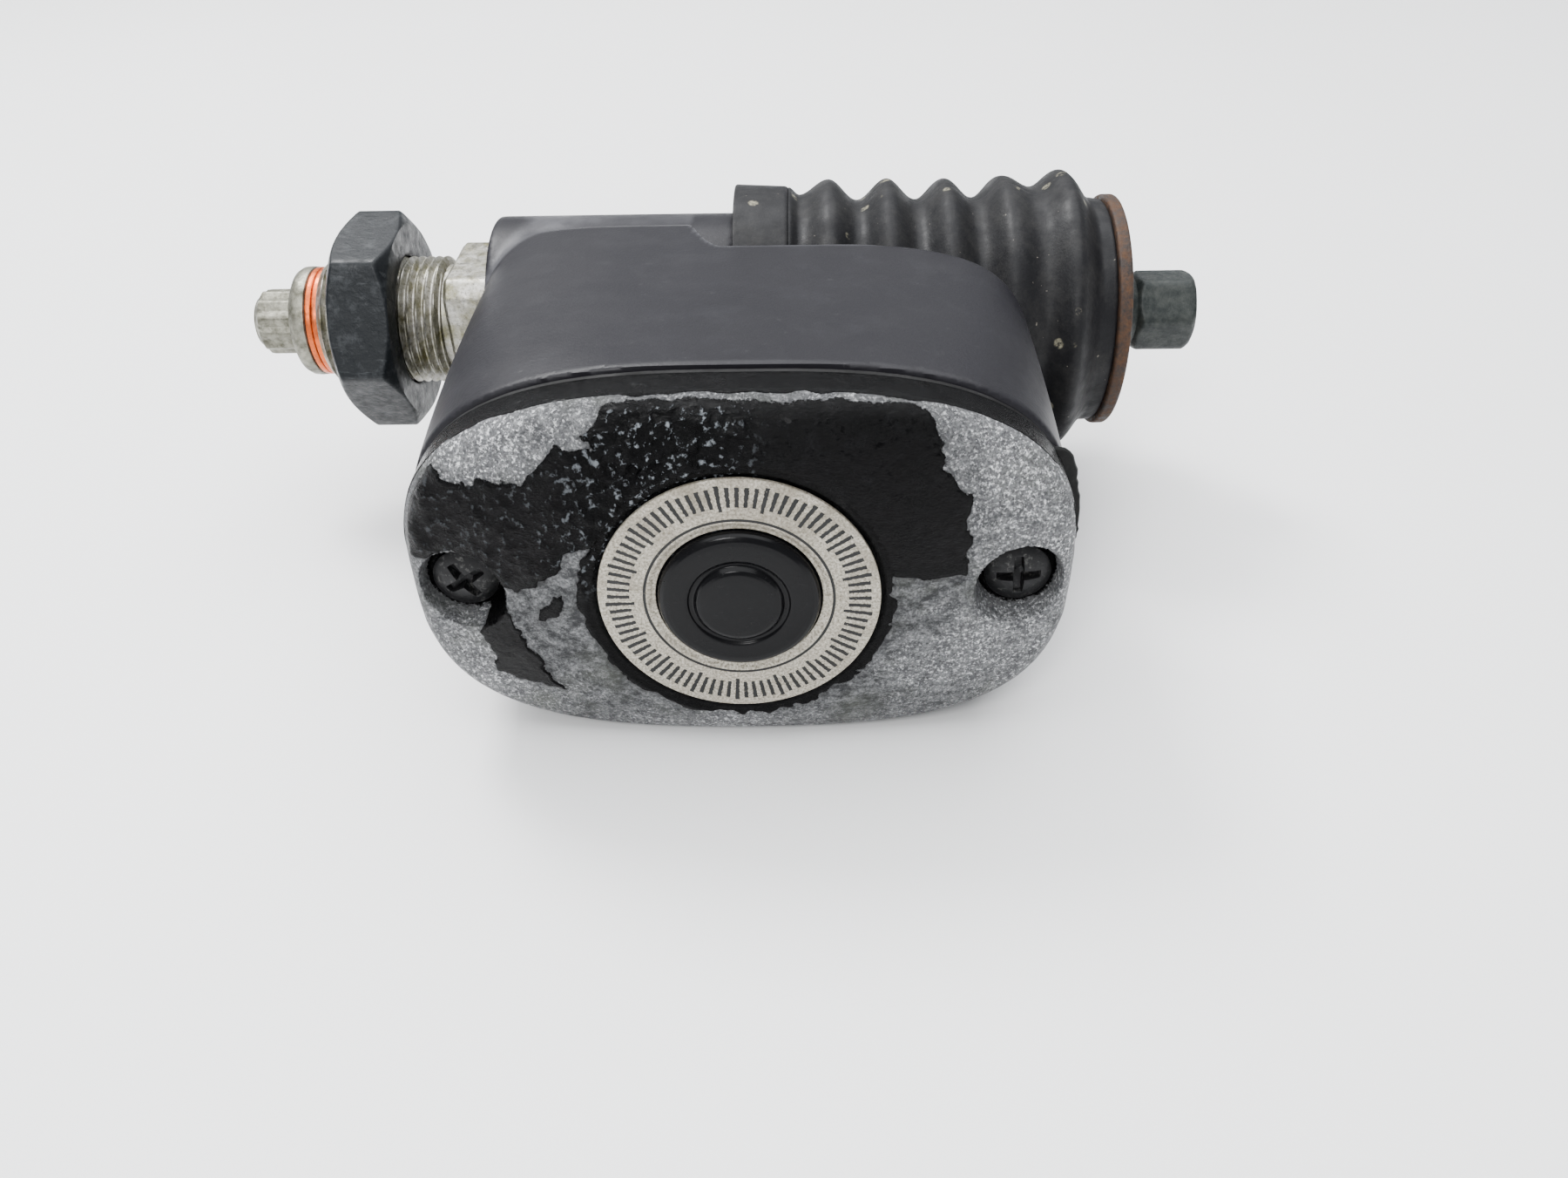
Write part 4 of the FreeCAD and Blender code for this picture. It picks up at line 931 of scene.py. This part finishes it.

# %% [markdown]
# ## The boot
# A rubber bellows keeps grit off the pushrod. Its collar grips the cylinder's flange and stays, and
# the folds close up as the brake is pressed. Here it is two pieces, a collar and the folds, and both
# ride on the cylinder. The folds follow a line through peaks and valleys, eased
# with half a cosine between them, and a slow wobble round the ring makes it look like rubber.

# %% Boot pieces
boot_low, boot_high = corners("rubber_boot")
PLATE = boot_high[0]
COLLAR_END = boot_low[0] + 7.9
VALLEYS = [(53.6, 17.75), (62.2, 17.05), (70.8, 17.0), (79.4, 17.05), (88.0, 18.5)]
PEAKS = [(57.9, 20.0), (66.5, 19.95), (75.1, 19.9), (83.7, 20.1), (92.3, 20.75)]
SKIN = 1.5


def fold_line(along):
    """Outside radius of the folds: between each valley and peak it moves as (1 - cos(pi t)) / 2."""
    stops = np.array([(COLLAR_END, 18.9), *sorted(VALLEYS + PEAKS), (PLATE - 1.8, 16.75), (PLATE, 16.6)])
    which = np.clip(np.searchsorted(stops[:, 0], along, side="right") - 1, 0, len(stops) - 2)
    start, end = stops[which], stops[which + 1]
    t = np.clip((along - start[:, 0]) / (end[:, 0] - start[:, 0]), 0, 1)
    return start[:, 1] + (end[:, 1] - start[:, 1]) * (1 - np.cos(np.pi * t)) / 2


def folds():
    angle = circle(256)[None, :]
    along = np.linspace(COLLAR_END + 0.02, PLATE - 0.35, 230)[:, None]
    slow = 0.10 * np.sin(3 * angle + along / 7) + 0.12 * lumps(angle * 3, along / 3 + 0 * angle, 1.0, 31)
    settle = ease(along, COLLAR_END, COLLAR_END + 3) * ease(PLATE - along, 0, 3)
    out = np.minimum(fold_line(along[:, 0])[:, None] - 0.12 + slow * settle, 20.75)
    lip = [(PLATE - 0.1, 16.35), (PLATE - 0.03, 16.0), (PLATE - 0.03, 10.7), (PLATE - 1.4, 10.7),
           (PLATE - 1.4, 15.0)]
    back = np.linspace(PLATE - 2.0, COLLAR_END + 0.02, 110)
    inner = np.minimum(fold_line(back) - SKIN, 19.2)[:, None]
    inner[-1] = 17.3
    return knit("boot_folds", around_x(*stacked(angle, (along, out), lip, (back[:, None], inner)), angle))


def collar():
    start, end, grip = boot_low[0], COLLAR_END, 16.65
    line = rounded([(start, grip), (start, 19.3), (end - 0.4, 18.95), (end + 0.1, 18.6),
                    (end + 0.1, grip)], 0.35, 5)
    line = np.vstack([line, [(end - 3.0, grip), (end - 3.0, 15.2), (start + 2.4, 15.2), (start + 2.4, grip)]])
    return turned("boot_collar", line, 256)


boot_folds = fit(folds(), "cylinder_body", "boot_rubber", "rubber_boot")
boot_collar = fit(collar(), "cylinder_body", "boot_rubber", "rubber_boot")

# %% [markdown]
# The boot's rubber is matt and a little grey, with a film of dust and a few pale flecks of dried mud.

# %% Dusty boot rubber
dusty = two_tone("dusty_boot_rubber", (0.0065, 0.0065, 0.0075), (0.019, 0.0185, 0.018),
                 ((5, 7, 0.78), 0.45, 0.72), ((3, 4, 0.55, 2), 0.42, 0.68), ((0.35, 3), 0.03),
                 ((2.5, 4), 0.08), specular=0.18)
dusty.over(dusty.patches((0.6, 2, 0.5, 14), 0.74, 0.77, 0, 0.6), (0.22, 0.20, 0.17))
mud = dusty.times(dusty.range(dusty.cells(6.5, 0.013), 0.13, 0.09),
                  dusty.patches((1.0, 4, 0.7, 9), 0.42, 0.6, 0, 0.7))
dusty.over(mud, (0.30, 0.28, 0.20))
wear(boot_folds, dusty)
wear(boot_collar, dusty)

# %% [markdown]
# ## Pushrod and end plate
# The pedal's rod screws into a short hexagon on the pushrod's end. A pressed steel plate on the rod's
# shoulder holds the boot's mouth and, inside, the return spring. The rod is turned about the bore
# like the cylinder, with its hexagon as the smaller of a polygon and a cone.

# %% Pushrod
rod_end = corners("pushrod")[1][0]
BALL, BALL_AT = 4.2, 41.3
SHOULDER = PLATE + 2.0
HEX_FROM = SHOULDER + 4.1
HOLE_DEEP, HOLE_PITCH = 14, 1.06


def rod():
    angle = circle(288)[None, :]
    sweep = np.linspace(0.06, 2.3, 24)[:, None]
    ball = (BALL_AT - BALL * np.cos(sweep), BALL * np.sin(sweep))
    stem = [(63.0, 3.1), (64.2, 3.97), (SHOULDER - 0.02, 3.97), (SHOULDER, 5.2), (SHOULDER + 0.4, 5.6),
            (HEX_FROM - 1.2, 5.5), (HEX_FROM - 0.3, 5.1)]
    grip_at = np.concatenate([HEX_FROM + np.linspace(0, 1.1, 9),
                              np.linspace(HEX_FROM + 1.6, rod_end - 1.7, 6),
                              rod_end - np.linspace(1.3, 0, 9)])[:, None]
    hexagon = smaller(flats(angle, 6.3, 6, 36.0), 6.05 + 0 * angle, 0.3)
    cone = 5.45 + np.minimum(1.2 * (grip_at - HEX_FROM), 1.1 * (rod_end - grip_at))
    grip = smaller(hexagon + 0 * grip_at, cone + 0 * angle, 0.45)
    down = np.arange(rod_end - 0.6, rod_end - HOLE_DEEP, -0.12)
    hole_at = np.concatenate([[rod_end, rod_end - 0.1], down])[:, None]
    turns = (hole_at / HOLE_PITCH - angle / TURN) % 1
    groove = np.clip(1.2 * np.abs(2 * turns - 1) - 0.1, 0, 1)
    hole = 3.45 + 0.35 * groove * ease(rod_end - hole_at, 0.4, 1.0)
    hole[0] = 4.2
    hole[1] = 4.05
    floor = [(rod_end - HOLE_DEEP, 3.4), (rod_end - 15.4, 0.3)]
    grid = around_x(*stacked(angle, ball, stem, (grip_at, grip), (hole_at, hole), floor), angle)
    return knit("pushrod_turned", grid, close_rows=False)


push = fit(rod(), "pushrod", "phosphated_steel", "pushrod")
phosphate = two_tone("phosphate", (0.010, 0.0135, 0.013), (0.040, 0.044, 0.040),
                     ((2.4, 6, 0.72), 0.42, 0.7), ((1.0, 5, 0.7), 0.32, 0.6), ((0.5, 5, 0.7), 0.07),
                     metallic=0.25, specular=0.3)
wear(push, phosphate)

# %% End plate
plate_line = rounded([(PLATE + 0.02, 4.05), (PLATE + 0.02, 17.15), (SHOULDER - 0.02, 17.15),
                      (SHOULDER - 0.02, 4.05)], 0.5, 5)
plate = fit(turned("end_plate_pressed", plate_line, 200), "piston_set", "rusty_steel", "end_plate")

rusty = Finish("rusted_plate", (0.2, 0.12, 0.07), 0.7, 0.15, specular=0.25)
deep_rust = rusty.patches((1.6, 6, 0.75), 0.40, 0.66)
flakes = rusty.mix(rusty.noise(0.5, 4), (0.045, 0.020, 0.011), (0.115, 0.062, 0.033))
rusty.set("Base Color", rusty.mix(deep_rust, (0.022, 0.017, 0.015), flakes))
rusty.set("Roughness", rusty.range(deep_rust, 0, 1, 0.45, 0.85))
rusty.bump(((0.6, 5, 0.7), 0.12))
wear(plate, rusty)

# %% [markdown]
# ## Springs
# Two springs are hidden inside: one returns the pedal, one holds the piston's cup open. They are
# wires carried along a helix. The wire's circle lies in the plane square to the helix.

# %% Springs
def spring(name, start, end, radius, wire, turns):
    """Points on a wire: helix + wire (cos w out + sin w side), where out points from the axis and side
    is square to both out and the helix's direction."""
    t = np.linspace(0, 1, int(turns * 40) + 1)[:, None]
    angle = TURN * turns * t
    rise = end - start - wire
    slope = rise / (TURN * turns * radius)
    w = circle(14)[None, :]
    norm = math.hypot(1, slope)
    outward = radius + wire / 2 * np.cos(w)
    sideways = wire / 2 * np.sin(w)
    x = start + wire / 2 + rise * t + sideways / norm
    swing = -sideways * slope / norm
    y = outward * np.sin(angle) + swing * np.cos(angle)
    z = outward * np.cos(angle) - swing * np.sin(angle)
    return knit(name, np.stack(np.broadcast_arrays(x, y, z), -1), close_rows=False)


seat_low = corners("spring_seat")[0]
return_spring = spring("return_spring_coil", 51.22, seat_low[0] - 0.02, 12.0, 2.2, 6.5)
fit(return_spring, "cylinder_body", "spring_steel", "pedal_return_spring")
cup_spring = spring("bore_spring_coil", 3.22, 22.94, 5.3, 1.1, 5.0)
fit(cup_spring, "cylinder_body", "spring_steel", "bore_spring")

# %% Give the soft pieces their own meshes
for piece, still, moving in ((boot_folds, COLLAR_END, PLATE), (return_spring, 51.2, seat_low[0]),
                             (cup_spring, 3.2, 22.96)):
    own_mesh(piece)

# %% [markdown]
# ## Hidden steel and the piston
# The CAD shapes of the small inner parts are already right, so they only get finishes: turned
# bright steel for washers, dark spring steel for springs and the ring, and a hard coat for the piston.

# %% Finishes for the inner parts
bright = Finish("turned_bright_steel", (0.55, 0.55, 0.55), 0.3, 0.9)
bright.set("Roughness", bright.patches((0.5, 4, 0.7, 0, (8, 1, 1)), 0.3, 0.7, 0.2, 0.42))
bright.bump(((0.3, 3, 0.6, 0, (6, 1, 1)), 0.02))
dark_spring = two_tone("dark_spring_steel", (0.09, 0.09, 0.10), (0.22, 0.21, 0.20), ((2, 4), 0, 1),
                       ((2, 4), 0.4, 0.4), ((0.5, 4), 0.04), metallic=0.8)
hard_coat = two_tone("hard_coat", (0.36, 0.31, 0.20), (0.54, 0.49, 0.36), ((3, 4), 0, 1),
                     ((3, 4), 0.4, 0.4), ((0.4, 3, 0.6, 0, (5, 1, 1)), 0.02), metallic=0.7)
for name, finish in (("stop_washer", bright), ("cup_washer", bright), ("spring_seat", bright),
                     ("retaining_ring", dark_spring), ("piston", hard_coat)):
    wear(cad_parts[name], finish)
wear(return_spring, dark_spring)
wear(cup_spring, dark_spring)

# %% [markdown]
# ## Floor, light and camera
# The part lies on a plain pale board, under a large soft light above, a small window behind and a
# small window in front. The camera looks
# down on it from the front, close and a little wide, which is why the cover looks large.

# %% Floor
FLOOR_Z = cad_box[0].z - 0.00002
HALF_BOARD = 4
sides = [(-1, -1), (1, -1), (1, 1), (-1, 1)]
floor_mesh = bpy.data.meshes.new("floor")
floor_mesh.from_pydata([(HALF_BOARD * x, HALF_BOARD * y, FLOOR_Z) for x, y in sides], [], [(0, 1, 2, 3)])
floor = bpy.data.objects.new("floor", floor_mesh)
bpy.context.scene.collection.objects.link(floor)
board = two_tone("pale_board", (0.86, 0.865, 0.855), (0.90, 0.895, 0.90), ((90, 3, 0.5), 0, 1),
                 ((90, 3, 0.5), 0.55, 0.55), ((1.2, 3), 0.02))
wear(floor, board)

# %% Light
world = bpy.data.worlds.new("daylight")
world.use_nodes = True
sky = world.node_tree.nodes["Background"]
sky.inputs["Color"].default_value = (0.93, 0.96, 1.0, 1)
sky.inputs["Strength"].default_value = 0.6
bpy.context.scene.world = world
MIDDLE = np.array([0.045, -0.025, 0.0])


def place_at(thing, right, up, back, spot):
    """Stands a lamp or a camera at a spot, with its three directions."""
    basis = np.eye(4)
    basis[:3, :] = np.stack([right, up, back, spot], -1)
    thing.matrix_world = Matrix(basis.tolist())
    bpy.context.scene.collection.objects.link(thing)


def lamp(name, spot, size, power, color=(1, 1, 1)):
    """A square soft light that points at the middle of the part."""
    data = bpy.data.lights.new(name, "AREA")
    data.size, data.energy, data.color = size, power, color
    away = np.array(spot) - MIDDLE
    away = away / np.linalg.norm(away)
    side = np.cross((0.0, 1.0, 0.01), away)
    side = side / np.linalg.norm(side)
    place_at(bpy.data.objects.new(name, data), side, np.cross(away, side), away, spot)


lamp("ceiling", (0.0, 0.15, 1.0), 1.7, 38.0, (0.97, 0.98, 1.0))
lamp("window", (-0.24, 0.28, 0.55), 0.2, 5.0)
lamp("front_window", (-0.22, -0.80, 0.72), 0.30, 9.0)

# %% Camera
EYE = (0.05373, -0.17633, 0.08086)
yaw, pitch, roll = math.radians(-1.2), math.radians(37.30), math.radians(-1.27)
ahead = np.array([math.sin(yaw) * math.cos(pitch), math.cos(yaw) * math.cos(pitch), -math.sin(pitch)])
up = np.array([math.sin(yaw) * math.sin(pitch), math.cos(yaw) * math.sin(pitch), math.cos(pitch)])
right = np.cross(ahead, up)
right, up = math.cos(roll) * right + math.sin(roll) * up, math.cos(roll) * up - math.sin(roll) * right
lens = bpy.data.cameras.new("camera")
lens.sensor_width, lens.lens = 36.0, 28.01
lens.clip_start = 0.005
camera = bpy.data.objects.new("camera", lens)
place_at(camera, right, up, -ahead, EYE)
bpy.context.scene.camera = camera
